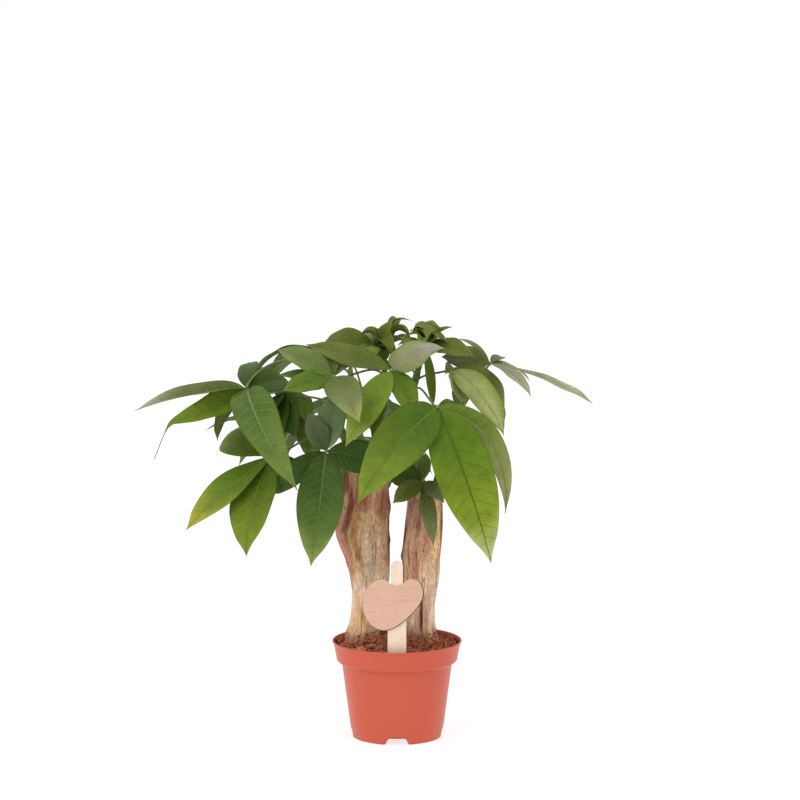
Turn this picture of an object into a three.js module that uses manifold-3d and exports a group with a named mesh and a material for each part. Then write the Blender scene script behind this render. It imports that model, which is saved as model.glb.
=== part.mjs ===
// A small potted money tree: two thick cut trunks in a plastic nursery pot, with leafy green
// shoots that grow out of their sawn tops, and a plain wooden plant tag pushed into the soil.
//
// Millimetres, +Z up. The origin is the middle of the pot's underside, +X is the viewer's right
// and +Y points away from the viewer. Every compound leaf is one fan of leaflets on a long stalk.
import * as THREE from "three";
import { mergeVertices } from "three/addons/utils/BufferGeometryUtils.js";
import Module from "manifold-3d";

const wasm = await Module();
wasm.setup();

// ---------- driving dimensions ----------

const GAP = 0.3; // running clearance between pieces that touch

const POT = {
  height: 90,
  rimRadius: 60, // outside of the lip
  rimFootRadius: 56, // outside of the rim band where it turns in to the wall
  rimDepth: 17.4, // height of the rim band
  shoulder: 4.5, // height over which the band turns in to the wall
  neckRadius: 51, // outside of the wall under the band
  baseRadius: 42.2,
  wall: 1.4,
  edge: 0.6, // rounding of the lip and of the foot
  footWidth: 3, // ring that the pot stands on
  floorHeight: 6, // underside of the floor above the table
  floorFillet: 2,
  bossRadius: 12, // flat middle boss of the underside, level with the foot
  notches: 4, // drain notches through the foot, at the front, the back and both sides
  notchWidth: 24,
  notchTopWidth: 15.5,
  notchHeight: 5.8,
  notchDepth: 12,
  sides: 44,
};

const SOIL = {
  edgeHeight: 86.4,
  moundHeight: 5.6,
  moundRadius: 46,
  crumb: 0.9, // height of the crumbs
  crumbPitch: 8, // from one crumb to the next, along X and Y
  rings: 7,
  sides: 32,
  clearance: 0.5, // to the pot's wall
};

// Each trunk: sections from the buried foot to the sawn top, as height, middle x, middle y,
// half width and half depth, and the lobes of its root flare.
const TRUNKS = {
  trunk_left: {
    sections: [
      [66, -29, 8, 12, 12],
      [84, -32, 7, 15.5, 15],
      [94, -32.5, 7, 15.5, 15],
      [105, -29.5, 7, 14.4, 14.5],
      [126, -26.4, 6, 15.5, 15],
      [144, -24.9, 6, 17.9, 16.5],
      [163, -27, 5, 20.4, 17.5],
      [180, -30.8, 5, 23.8, 19],
      [191, -32.2, 5, 25.1, 19.8],
      [204, -30.5, 5, 23, 19.5],
      [222, -28.5, 5, 21.2, 19],
      [250, -28.5, 5, 20.8, 18.5],
    ],
    flare: { lobes: 3, turn: 0.4, depth: 0.1 },
  },
  trunk_right: {
    sections: [
      [66, 20, 8, 11, 12],
      [84, 21.7, 8, 16.3, 16],
      [94, 21.7, 8, 15.7, 15.5],
      [104, 21.3, 8, 14.5, 14.8],
      [126, 21.2, 7, 14.8, 14.8],
      [145, 22.5, 6, 16.6, 15.5],
      [163, 22.4, 6, 17.2, 16],
      [182, 23.4, 5, 17.8, 16.5],
      [201, 24.6, 5, 17.4, 16.5],
      [218, 25.5, 5, 16.2, 16],
      [230, 25.5, 5, 15.4, 15],
    ],
    flare: { lobes: 4, turn: 1.1, depth: 0.18 },
  },
};
const BARK = {
  sides: 18,
  ridges: 7,
  ridgeDepth: 0.02, // over the half width
  ridgeTwist: 0.04, // radians a millimetre of height
  flareTop: 116, // the root flare dies out at this height
  bevel: 2.5, // worn edge of the sawn top
};

// Green shoots: root in the trunk, its bends and the growing tip, with the radius at both ends.
const SHOOTS = {
  shoot_left: {
    trunk: "trunk_left",
    line: [[-37, 2, 236], [-43, 3, 264], [-53, 6, 290], [-62, 9, 320], [-71, 12, 350]],
    radius: [4.6, 2.4],
  },
  shoot_middle: {
    trunk: "trunk_left",
    line: [[-23, -1, 236], [-16, 3, 280], [-10, 6, 325], [-15, 2, 361]],
    radius: [4.6, 2.4],
  },
  shoot_back_left: {
    trunk: "trunk_left",
    line: [[-30, 12, 236], [-33, 32, 268], [-40, 58, 300], [-44, 74, 334]],
    radius: [4.2, 2.2],
  },
  shoot_right: {
    trunk: "trunk_right",
    line: [[21, 0, 216], [17, 1, 270], [15, 2, 320], [24, 2, 358]],
    radius: [4.8, 2.5],
  },
  shoot_back_right: {
    trunk: "trunk_right",
    line: [[31, 9, 218], [45, 25, 258], [60, 42, 298], [66, 54, 330]],
    radius: [4.2, 2.2],
  },
};
const SHOOT = { sides: 7, steps: 7 };

// Compound leaves. at: where the stalk leaves its shoot, 0 at the root and 1 at the tip.
// hub: where the leaflets meet. face: the way the upper surface looks.
// arrive: the way the stalk runs in to its hub, where it isn't the usual one.
// leaflets: heading of the leaflet seen from above (0 is +X, 90 is +Y), its fall below level in
// degrees, its length, and what is not as in LEAFLET.
const LEAVES = {
  leaf_far_left: {
    shoot: "shoot_left",
    at: 0.92,
    hub: [-137, -20, 327],
    face: [-0.25, -0.35, 0.9],
    arrive: [-0.35, -0.15, -0.92],
    leaflets: [
      [187, 11, 104, { width: 24, arch: 0.048, widest: 0.38, fold: 0.5 }],
      [204, 20, 95, {
        width: 26, arch: -0.016, widest: 0.28, fold: 0.4, roll: -35, spring: 10, tail: 0.12, drip: 28,
      }],
      [307, 46, 117, { width: 39, arch: 0.17, widest: 0.3, bow: 0.06, fold: 0.35 }],
      [147, 57, 61, { width: 24, roll: 40 }],
      [84, -22, 50, { width: 20 }],
      [41, -2, 50, { width: 30, roll: 35 }],
    ],
  },
  leaf_low_left: {
    shoot: "shoot_left",
    at: 0.4,
    hub: [-116, -5, 262],
    face: [-0.3, -0.6, 0.7],
    leaflets: [
      [208, 36, 105, { width: 34, arch: 0.05, widest: 0.5 }],
      [251, 54, 102, { width: 43, arch: 0.06, widest: 0.44, bow: 0.03 }],
      [147, -2, 62, { width: 34, arch: 0.27, widest: 0.55, tail: 0.16, drip: 8 }],
      [100, -11, 69, { width: 26 }],
      [20, 38, 48, { width: 20 }],
    ],
  },
  leaf_middle_left: {
    shoot: "shoot_middle",
    at: 0.3,
    hub: [-64, -40, 272],
    face: [0, -0.9, 0.45],
    leaflets: [
      [242, 74, 105, { width: 42, arch: 0.06, widest: 0.41, bow: -0.01 }],
      [154, 38, 72, { width: 24 }],
      [120, -45, 44, { width: 20, roll: -20 }],
      [62, -69, 58, { width: 26 }],
      [178, -64, 38, { width: 22 }],
      [5, 16, 62, { width: 32 }],
    ],
  },
  leaf_upper_left: {
    shoot: "shoot_middle",
    at: 0.78,
    hub: [-57, -58, 342],
    face: [-0.2, -0.5, 0.85],
    leaflets: [
      [156, -21, 60, { width: 26, arch: 0.09 }],
      [205, 12, 50, { width: 24, arch: 0.04, roll: -20 }],
      [166, 0, 52, { width: 15, arch: 0.02 }],
      [291, 26, 77, { width: 31, arch: 0.1, widest: 0.4 }],
      [108, -16, 58, { width: 28, arch: 0.08 }],
      [70, -8, 52, { width: 22 }],
    ],
  },
  leaf_middle: {
    shoot: "shoot_right",
    at: 0.84,
    hub: [-5, -50, 347],
    face: [0, -0.6, 0.8],
    leaflets: [
      [221, 50, 84, { width: 30, arch: 0.1, widest: 0.45, bow: -0.03 }],
      [320, 58, 50, { width: 24, widest: 0.4, bow: -0.02 }],
      [238, 62, 70, { width: 13 }],
      [12, -20, 53, { width: 35, widest: 0.3, bow: -0.09, fold: -0.1 }],
      [162, -14, 84, { width: 27, arch: 0.02 }],
      [80, 8, 52, { width: 24 }],
    ],
  },
  leaf_big_front: {
    shoot: "shoot_right",
    at: 0.72,
    hub: [36, -75, 317],
    face: [0.1, -0.85, 0.5],
    leaflets: [
      [210, 45, 115, { width: 47, arch: 0.08, widest: 0.35, bow: 0.04 }],
      [319, 65, 148, { width: 53, arch: 0.05, widest: 0.4, bow: -0.01 }],
      [349, 57, 113, { width: 23, arch: 0.03, bow: -0.15, fold: 0.3, roll: 5, spring: 0.6 }],
      [70, 22, 60, { width: 24 }],
      [120, 38, 60, { width: 24 }],
    ],
  },
  leaf_right: {
    shoot: "shoot_right",
    at: 0.8,
    hub: [51, -10, 344],
    face: [0.6, 0.3, 0.74],
    leaflets: [
      [325, 46, 80, { width: 34, widest: 0.4, roll: 58 }],
      [27, 40, 70, { width: 34, arch: 0.18, roll: 55 }],
      [294, 59, 36, { width: 24, roll: 50 }],
      [55, 35, 60, { width: 22 }],
      [100, 14, 40, { width: 14 }],
    ],
  },
  leaf_far_right: {
    shoot: "shoot_back_right",
    at: 0.9,
    hub: [86, 14, 346],
    face: [0.2, -0.2, 0.95],
    leaflets: [
      [352, 21, 102, { width: 20, arch: 0.06, widest: 0.66 }],
      [314, 27, 58, { width: 18, arch: 0.1 }],
      [66, -1, 34, { width: 11 }],
      [133, -14, 60, { width: 9, arch: 0.18 }],
      [187, -8, 46, { width: 24, arch: 0.08, roll: -50 }],
      [35, 24, 50, { width: 16 }],
    ],
  },
  leaf_top_left: {
    shoot: "shoot_middle",
    at: 0.97,
    hub: [-20, -8, 364],
    face: [-0.1, -0.2, 0.97],
    leaflets: [
      [152, 0, 54, { width: 26, arch: 0.14, roll: -45 }],
      [330, -53, 31, { width: 12, arch: 0.05, roll: 70 }],
      [110, 11, 70, { width: 28, arch: 0.2 }],
      [88, 8, 62, { width: 18, arch: 0.2 }],
      [262, 46, 21, { width: 16, arch: 0.6, fold: -0.3 }],
      [312, 20, 24, { width: 15, arch: 0.5, fold: 0.7 }],
      [345, 38, 20, { width: 14, arch: 0.4, fold: 0.6 }],
    ],
  },
  leaf_young_middle: {
    shoot: "shoot_middle",
    at: 1,
    hub: [-8, 4, 365],
    face: [0.2, 0, 0.98],
    leaflets: [
      [350, -43, 31, { width: 9, arch: 0.4, fold: 0.5 }],
      [70, -32, 34, { width: 11, arch: 0.3, fold: 0.9 }],
      [345, -14, 22, { width: 13, arch: 0.5, fold: 0.9 }],
      [150, -32, 20, { width: 10, arch: 0.2, fold: 0.9 }],
    ],
  },
  leaf_top_right: {
    shoot: "shoot_right",
    at: 0.98,
    hub: [26, -2, 363],
    face: [0.1, -0.1, 0.98],
    leaflets: [
      [345, -8, 22, { width: 22, arch: 0.7, fold: -0.5 }],
      [245, -50, 26, { width: 30, arch: 0.5, widest: 0.55, fold: -0.6 }],
      [352, 11, 46, { width: 22, arch: 0.14, roll: 35 }],
      [300, 76, 58, { width: 11, arch: 0.1, bow: 0.05 }],
      [85, 5, 58, { width: 24, arch: 0.2 }],
      [5, -35, 31, { width: 9, arch: 0.12, fold: 0.7 }],
      [120, -44, 27, { width: 22, arch: 0.6, fold: -0.5 }],
    ],
  },
  leaf_low_front: {
    shoot: "shoot_right",
    at: 0.14,
    hub: [24, -33, 244],
    face: [0, -0.8, 0.5],
    leaflets: [
      [198, 34, 35, { width: 18 }],
      [324, 79, 60, { width: 14 }],
      [156, -5, 36, { width: 24 }],
      [318, 35, 31, { width: 14 }],
      [85, -40, 34, { width: 12, arch: 0.05 }],
    ],
  },
  leaf_inner_left: {
    shoot: "shoot_left",
    at: 0.62,
    hub: [-102, 14, 320],
    face: [-0.2, -0.2, 0.95],
    leaflets: [
      [245, 72, 55, { width: 24 }],
      [8, 72, 67, { width: 18, widest: 0.6 }],
      [200, 62, 50, { width: 24 }],
      [300, 66, 46, { width: 22, roll: 20 }],
      [90, 20, 60],
      [75, 38, 48],
      [15, 2, 42, { width: 12 }],
      [335, 50, 44, { width: 17 }],
      [60, 34, 52, { width: 20 }],
      [140, 25, 56],
    ],
  },
  leaf_back_left: {
    shoot: "shoot_back_left",
    at: 0.95,
    hub: [-74, 56, 354],
    face: [-0.2, 0.2, 0.95],
    leaflets: [
      [209, 27, 77, { width: 15, arch: 0.245, fold: 0.5 }],
      [150, 30, 72],
      [122, 24, 90],
      [80, 12, 80],
      [35, 5, 56],
    ],
  },
  leaf_back: {
    shoot: "shoot_back_left",
    at: 1,
    hub: [-30, 106, 302],
    face: [0, 0.4, 0.9],
    leaflets: [
      [75, 30, 94],
      [120, 30, 92],
      [165, 22, 80],
      [38, 36, 74],
      [215, 10, 50],
    ],
  },
  leaf_back_right: {
    shoot: "shoot_back_right",
    at: 1,
    hub: [62, 98, 322],
    face: [0.1, 0.4, 0.9],
    leaflets: [
      [70, 30, 84],
      [44, 42, 78],
      [98, 64, 40, { width: 18 }],
      [15, 46, 54],
      [340, 56, 60],
    ],
  },
  leaf_low_right: {
    shoot: "shoot_back_right",
    at: 0.5,
    hub: [72, 64, 282],
    face: [0.3, 0.4, 0.86],
    leaflets: [
      [70, 46, 80],
      [110, 50, 84],
      [20, 50, 46],
      [300, 50, 52],
      [150, 30, 50],
    ],
  },
  leaf_low_back_left: {
    shoot: "shoot_back_left",
    at: 0.35,
    hub: [-92, 64, 284],
    face: [-0.3, 0.3, 0.9],
    leaflets: [
      [190, 4, 90, { width: 26 }],
      [150, 34, 82],
      [112, 44, 86],
      [70, 42, 66],
      [235, 35, 56],
    ],
  },
  leaf_low_back: {
    shoot: "shoot_back_left",
    at: 0.5,
    hub: [-16, 104, 262],
    face: [0, 0.5, 0.86],
    leaflets: [
      [90, 50, 92],
      [50, 46, 84],
      [134, 44, 84],
      [175, 30, 56],
      [5, 34, 60],
    ],
  },
};

const STALK = {
  hubRadius: 1.2,
  baseRadius: 2,
  baseShare: 0.12, // share of the stalk that is swollen at the shoot
  rise: 0.25, // how steeply it leaves the shoot, over its reach
  droop: 0.35, // how long it runs straight in to its hub, over its reach
  turn: 0.25, // how much it turns to the way that the hub looks
  sides: 5,
  steps: 5,
};
const LEAFLET = {
  widthShare: 0.36, // usual width over length
  usual: {
    arch: 0.12, // rise of the midrib over its chord, over length
    widest: 0.45, // where it is broadest, along the leaflet
    bow: 0, // sideways bend of the midrib, over length
    fold: 0.16, // rise of the edges over the midrib, over half width
    roll: 0, // turn about its chord, in degrees
    spring: 0, // how much more the near part of the midrib is bent than the far part
    tail: 0, // share of the length that is a narrow drawn-out tip
    drip: 0, // how far the tip hangs below the midrib's curve
  },
  riseShare: 1.2, // lift of the curve's control points for the given arch
  bowShare: 1.33,
  reach: [0.333, 0.75], // where the control points are, along the chord
  roundness: 0.8, // of the near half of the outline, less is rounder
  taper: 0.3, // share of the width that the drawn-out tip loses
  taperSpan: [0.8, 0.96], // where it loses it, along the leaflet
  dripSpan: [0.74, 1.05],
  dripCurve: 1.2,
  thickness: 0.7,
  stalkHalfWidth: 1,
  tipHalfWidth: 0.4,
  stations: [0, 0.21, 0.42, 0.63, 0.83, 1],
  start: 1.8, // leaflets start this far from the middle of their hub
  step: 0.01, // share of the length over which the midrib's direction is taken
};
const HUB_RADIUS = 2.6;

const TAG = {
  foot: [0, -49.6, 90], // the middle of the stake, level with the pot's rim
  lean: 6, // degrees towards the viewer, in line with the pot's wall
  stakeBelow: 40, // length under the rim's level
  pointLength: 12, // of the buried point
  stakeAbove: 85,
  stakeWidth: 17,
  stakeThickness: 2,
  shoulders: [34, 56], // heights between which the stake narrows to its tongue
  tongueWidth: 11,
  plateMiddle: [-3, 43], // across from the stake's middle, and above the rim's level
  plateThickness: 1.6,
  curveSegments: 8,
};

// ---------- colours ----------

const MATERIALS = {
  terracotta: new THREE.MeshStandardMaterial({ color: 0xc9573f, roughness: 0.45 }),
  soil: new THREE.MeshStandardMaterial({ color: 0x5a3424, roughness: 1 }),
  bark: new THREE.MeshStandardMaterial({ color: 0xa98a6c, roughness: 0.9 }),
  shoot: new THREE.MeshStandardMaterial({ color: 0x5d7030, roughness: 0.6 }),
  leaf: new THREE.MeshStandardMaterial({ color: 0x4b7a24, roughness: 0.45, side: THREE.DoubleSide }),
  wood: new THREE.MeshStandardMaterial({ color: 0xe3c3a5, roughness: 0.8 }),
};

// ---------- solids ----------

function solidOf(geometry) {
  const bare = new THREE.BufferGeometry().setAttribute("position", geometry.getAttribute("position"));
  if (geometry.index) bare.setIndex(geometry.index);
  const merged = mergeVertices(bare, 1e-4);
  return new wasm.Manifold(
    new wasm.Mesh({
      numProp: 3,
      vertProperties: merged.attributes.position.array,
      triVerts: new Uint32Array(merged.index.array),
    }),
  );
}

function geometryOf(solid) {
  const mesh = solid.getMesh();
  const geometry = new THREE.BufferGeometry();
  geometry.setAttribute("position", new THREE.BufferAttribute(new Float32Array(mesh.vertProperties), 3));
  geometry.setIndex(new THREE.BufferAttribute(new Uint32Array(mesh.triVerts), 1));
  geometry.computeVertexNormals();
  return geometry;
}

function indexed(points, index) {
  const geometry = new THREE.BufferGeometry().setFromPoints(points);
  geometry.setIndex(index);
  return geometry;
}

// A closed body through rings of points, which turn anticlockwise seen from the last ring.
function loft(rings) {
  const sides = rings[0].length;
  const index = [];
  const last = (rings.length - 1) * sides;
  for (let ring = 0; ring < rings.length - 1; ring++)
    for (let side = 0; side < sides; side++) {
      const a = ring * sides + side;
      const b = ring * sides + ((side + 1) % sides);
      index.push(a, b, b + sides, a, b + sides, a + sides);
    }
  for (let side = 1; side < sides - 1; side++) {
    index.push(0, side + 1, side);
    index.push(last, last + side, last + side + 1);
  }
  return indexed(rings.flat(), index);
}

// A round rod along a curve, with its radius as a function of the share of the way along.
function rod(curve, radiusAt, sides, steps) {
  const frames = curve.computeFrenetFrames(steps);
  const rings = [];
  for (let step = 0; step <= steps; step++) {
    const along = step / steps;
    const centre = curve.getPointAt(along);
    const radius = radiusAt(along);
    const ring = [];
    for (let side = 0; side < sides; side++) {
      const turn = (2 * Math.PI * side) / sides;
      ring.push(
        centre
          .clone()
          .addScaledVector(frames.normals[step], radius * Math.cos(turn))
          .addScaledVector(frames.binormals[step], radius * Math.sin(turn)),
      );
    }
    rings.push(ring);
  }
  return loft(rings);
}

function lerpSections(sections, height) {
  let upper = sections.findIndex((section) => section[0] >= height);
  upper = Math.max(1, upper < 0 ? sections.length - 1 : upper);
  const [low, high] = [sections[upper - 1], sections[upper]];
  const share = Math.min(1, Math.max(0, (height - low[0]) / (high[0] - low[0])));
  return low.map((value, i) => value + (high[i] - value) * share);
}

// ---------- pot, soil and trunks ----------

// The inside of the pot's wall from the floor up, as height and radius.
function potInside() {
  const { height, wall, edge, rimDepth, floorFillet } = POT;
  const floorTop = POT.floorHeight + wall;
  const bandFoot = height - rimDepth + edge;
  return [
    [floorTop, POT.baseRadius - wall - floorFillet],
    [floorTop + floorFillet / 2, POT.baseRadius - wall - edge],
    [bandFoot - POT.shoulder, POT.neckRadius - wall],
    [bandFoot, POT.rimFootRadius - wall],
    [height, POT.rimRadius - wall],
  ];
}

function pot() {
  const { height, edge, baseRadius, bossRadius, floorHeight, footWidth } = POT;
  const bandFoot = height - POT.rimDepth;
  const inside = potInside();
  const outline = [
    [0, 0],
    [0, bossRadius],
    [floorHeight, bossRadius + footWidth],
    [floorHeight, baseRadius - footWidth],
    [0, baseRadius - footWidth],
    [0, baseRadius - 2 * edge],
    [2 * edge, baseRadius],
    [bandFoot - POT.shoulder, POT.neckRadius],
    [bandFoot, POT.rimFootRadius],
    [height - 3 * edge, POT.rimRadius - edge],
    [height - 2 * edge, POT.rimRadius],
    [height, POT.rimRadius - edge],
    ...inside.reverse(),
    [floorHeight + POT.wall, 0],
  ].map(([z, radius]) => new THREE.Vector2(radius, z));
  const body = solidOf(new THREE.LatheGeometry(outline, POT.sides).rotateX(Math.PI / 2));
  const notches = Array.from({ length: POT.notches }, (_, i) => notch((2 * Math.PI * i) / POT.notches));
  return notches.reduce((cut, one) => cut.subtract(one), body);
}

// What one drain notch takes away: a block through the foot, narrower towards its top.
function notch(turn) {
  const half = POT.notchWidth / 2;
  const halfTop = POT.notchTopWidth / 2;
  const below = GAP;
  const outline = new THREE.Shape([
    new THREE.Vector2(-half, -below),
    new THREE.Vector2(half, -below),
    new THREE.Vector2(halfTop, POT.notchHeight),
    new THREE.Vector2(-halfTop, POT.notchHeight),
  ]);
  const block = new THREE.ExtrudeGeometry(outline, { depth: POT.notchDepth, bevelEnabled: false })
    .rotateX(Math.PI / 2)
    .translate(0, POT.notchDepth / 2 - POT.baseRadius, 0)
    .rotateZ(turn);
  return solidOf(block);
}

// Half width of the soil at a height: the inside of the pot's wall, less the clearance.
function soilRadius(z) {
  return lerpSections(potInside(), z)[1] - SOIL.clearance;
}

// Height of the soil's surface: a mound round the trunks, with crumbs on it.
function soilTop(x, y) {
  const out = Math.min(1, Math.hypot(x, y) / SOIL.moundRadius);
  const mound = SOIL.moundHeight * Math.cos((Math.PI / 2) * out);
  const [across, along] = [x, y].map((place) => (2 * Math.PI * place) / SOIL.crumbPitch);
  const crumbs = Math.sin(across + 2 * Math.sin(along)) * Math.cos(along + 2 * Math.cos(across / 2));
  return SOIL.edgeHeight + mound + SOIL.crumb * crumbs;
}

function soil(holes) {
  const circle = (radius, heightAt) =>
    Array.from({ length: SOIL.sides }, (_, side) => {
      const turn = (2 * Math.PI * side) / SOIL.sides;
      const [x, y] = [radius * Math.cos(turn), radius * Math.sin(turn)];
      return new THREE.Vector3(x, y, heightAt(x, y));
    });
  const levels = potInside().slice(0, -1);
  levels[0][0] += GAP;
  const wall = levels.map(([z]) => circle(soilRadius(z), () => z));
  const edge = soilRadius(SOIL.edgeHeight);
  const top = Array.from({ length: SOIL.rings }, (_, i) => circle(edge * (1 - i / SOIL.rings), soilTop));
  return holes.reduce((body, hole) => body.subtract(hole), solidOf(loft([...wall, ...top])));
}

// swell grows the trunk all round, for the hole that it stands in.
function trunk({ sections, flare }, swell = 0) {
  const bottom = sections[0][0];
  const top = sections[sections.length - 1];
  const underBevel = [top[0] - BARK.bevel, ...top.slice(1)];
  const rings = [...sections.slice(0, -1), underBevel, top].map((section) => {
    const [height, x, y, halfWidth, halfDepth] = section;
    const inset = section === top ? BARK.bevel : 0;
    const spread = Math.max(0, 1 - (height - bottom) / (BARK.flareTop - bottom));
    return Array.from({ length: BARK.sides }, (_, side) => {
      const turn = (2 * Math.PI * side) / BARK.sides;
      const ridge = Math.sin(BARK.ridges * turn + BARK.ridgeTwist * height) * BARK.ridgeDepth;
      const lobe = flare.depth * spread * Math.cos(flare.lobes * (turn + flare.turn));
      const share = 1 + ridge + lobe;
      return new THREE.Vector3(
        x + ((halfWidth - inset) * share + swell) * Math.cos(turn),
        y + ((halfDepth - inset) * share + swell) * Math.sin(turn),
        height,
      );
    });
  });
  return solidOf(loft(rings));
}

// ---------- shoots and leaves ----------

const vector = (list) => new THREE.Vector3(...list);

function shootCurve({ line }) {
  return new THREE.CatmullRomCurve3(line.map(vector));
}

function shoot(spec, swell = 0) {
  const [root, tip] = spec.radius;
  const radiusAt = (along) => root + (tip - root) * along + swell;
  return solidOf(rod(shootCurve(spec), radiusAt, SHOOT.sides, SHOOT.steps));
}

// Half width of a leaflet over its largest half width, with a drawn-out tip.
function leafletOutline(along, widest) {
  const swell = Math.sin(Math.PI * along ** (Math.log(0.5) / Math.log(widest)));
  const drawn = THREE.MathUtils.smoothstep(along, ...LEAFLET.taperSpan);
  return (along < widest ? swell ** LEAFLET.roundness : swell) * (1 - LEAFLET.taper * drawn);
}

function leafletTip(hub, heading, fall, length) {
  const level = length * Math.cos(THREE.MathUtils.degToRad(fall));
  return new THREE.Vector3(
    hub.x + level * Math.cos(THREE.MathUtils.degToRad(heading)),
    hub.y + level * Math.sin(THREE.MathUtils.degToRad(heading)),
    hub.z - length * Math.sin(THREE.MathUtils.degToRad(fall)),
  );
}

// How far a hanging tip has sunk at a share of the way along, over how far it sinks in all.
function sunk(along) {
  const [from, to] = LEAFLET.dripSpan;
  const share = THREE.MathUtils.smoothstep(along, from, to) / THREE.MathUtils.smoothstep(1, from, to);
  return share ** LEAFLET.dripCurve;
}

// The midrib as points at shares of the way along, and the way across the leaflet at its hub.
function midribOf(hub, face, tip, shape) {
  const chord = tip.clone().sub(hub);
  const length = chord.length();
  chord.normalize();
  const up = face.clone().addScaledVector(chord, -face.dot(chord)).normalize();
  const side = chord.clone().cross(up);
  for (const way of [up, side]) way.applyAxisAngle(chord, THREE.MathUtils.degToRad(shape.roll));
  const lift = up.clone().multiplyScalar(LEAFLET.riseShare * shape.arch * length);
  lift.addScaledVector(side, LEAFLET.bowShare * shape.bow * length);
  const [near, far] = LEAFLET.reach;
  const curve = new THREE.CubicBezierCurve3(
    hub.clone().addScaledVector(chord, LEAFLET.start),
    hub.clone().addScaledVector(chord, near * length).addScaledVector(lift, 1 + shape.spring),
    hub.clone().addScaledVector(chord, far * length).add(lift),
    tip,
  );
  const pointAt = (along) => {
    const point = curve.getPoint(along);
    point.z -= shape.drip * sunk(along);
    return point;
  };
  return { pointAt, side };
}

function leaflet(hub, face, [heading, fall, length, unusual]) {
  const shape = { width: length * LEAFLET.widthShare, ...LEAFLET.usual, ...unusual };
  const { pointAt, side } = midribOf(hub, face, leafletTip(hub, heading, fall, length), shape);
  const top = [];
  const bottom = [];
  for (const along of LEAFLET.stations) {
    const centre = pointAt(along);
    const [before, after] = [Math.max(0, along - LEAFLET.step), Math.min(1, along + LEAFLET.step)];
    const tangent = pointAt(after).sub(pointAt(before)).normalize();
    const across = side.clone().addScaledVector(tangent, -side.dot(tangent)).normalize();
    const normal = across.clone().cross(tangent);
    const least = THREE.MathUtils.lerp(LEAFLET.stalkHalfWidth, LEAFLET.tipHalfWidth, along);
    const outline = leafletOutline(Math.min(1, along / (1 - shape.tail)), shape.widest);
    const half = Math.max(least, (shape.width / 2) * outline);
    for (const place of [-1, 0, 1]) {
      const point = centre
        .clone()
        .addScaledVector(across, place * half)
        .addScaledVector(normal, Math.abs(place) * half * shape.fold);
      top.push(point.clone().addScaledVector(normal, LEAFLET.thickness / 2));
      bottom.push(point.addScaledVector(normal, -LEAFLET.thickness / 2));
    }
  }
  return blade(top, bottom);
}

// A thin blade between two grids three points wide, split into triangles alike on both faces.
function blade(top, bottom) {
  const count = top.length;
  const rows = count / 3;
  const index = [];
  const quad = (a, b, c, d) => index.push(a, b, c, a, c, d);
  for (let row = 0; row < rows - 1; row++) {
    const near = row * 3;
    const far = near + 3;
    for (let column = 0; column < 2; column++) {
      const [a, b, c, d] = [near + column, near + column + 1, far + column + 1, far + column];
      index.push(a, b, c, a, c, d);
      index.push(count + a, count + c, count + b, count + a, count + d, count + c);
    }
    quad(near, far, count + far, count + near);
    quad(near + 2, count + near + 2, count + far + 2, far + 2);
  }
  const end = count - 3;
  for (let column = 0; column < 2; column++) {
    quad(column, count + column, count + column + 1, column + 1);
    quad(end + column, end + column + 1, count + end + column + 1, count + end + column);
  }
  return solidOf(indexed(top.concat(bottom), index));
}

function stalkCurve(spec) {
  const root = shootCurve(SHOOTS[spec.shoot]).getPointAt(spec.at);
  const hub = vector(spec.hub);
  const span = hub.clone().sub(root);
  const reach = span.length();
  const out = new THREE.Vector3(span.x, span.y, 0).normalize();
  const leave = out.add(new THREE.Vector3(0, 0, 1));
  const usual = span.clone().normalize().lerp(vector(spec.face).normalize(), STALK.turn);
  const arrive = spec.arrive ? vector(spec.arrive).normalize() : usual;
  return new THREE.CubicBezierCurve3(
    root,
    root.clone().addScaledVector(leave, reach * STALK.rise),
    hub.clone().addScaledVector(arrive, -reach * STALK.droop),
    hub,
  );
}

function leaf(spec) {
  const hub = vector(spec.hub);
  const face = vector(spec.face).normalize();
  const radiusAt = (along) => (along < STALK.baseShare ? STALK.baseRadius : STALK.hubRadius);
  const stalk = solidOf(rod(stalkCurve(spec), radiusAt, STALK.sides, STALK.steps));
  const knuckle = solidOf(new THREE.IcosahedronGeometry(HUB_RADIUS, 0).translate(hub.x, hub.y, hub.z));
  const body = wasm.Manifold.union([stalk, knuckle, ...spec.leaflets.map((one) => leaflet(hub, face, one))]);
  return body.subtract(shoot(SHOOTS[spec.shoot], GAP));
}

// ---------- the plant tag ----------

function stake(swell = 0) {
  const { stakeBelow, pointLength, stakeAbove, stakeThickness, shoulders } = TAG;
  const half = TAG.stakeWidth / 2 + swell;
  const tongue = TAG.tongueWidth / 2 + swell;
  const outline = new THREE.Shape();
  outline.moveTo(0, -stakeBelow - swell);
  outline.lineTo(half, pointLength - stakeBelow);
  outline.lineTo(half, shoulders[0]);
  outline.lineTo(tongue, shoulders[1]);
  outline.absarc(0, stakeAbove - TAG.tongueWidth / 2, tongue, 0, Math.PI, false);
  outline.lineTo(-tongue, shoulders[1]);
  outline.lineTo(-half, shoulders[0]);
  outline.lineTo(-half, pointLength - stakeBelow);
  return leaned(outline, stakeThickness + 2 * swell, -stakeThickness / 2 - swell);
}

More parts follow.
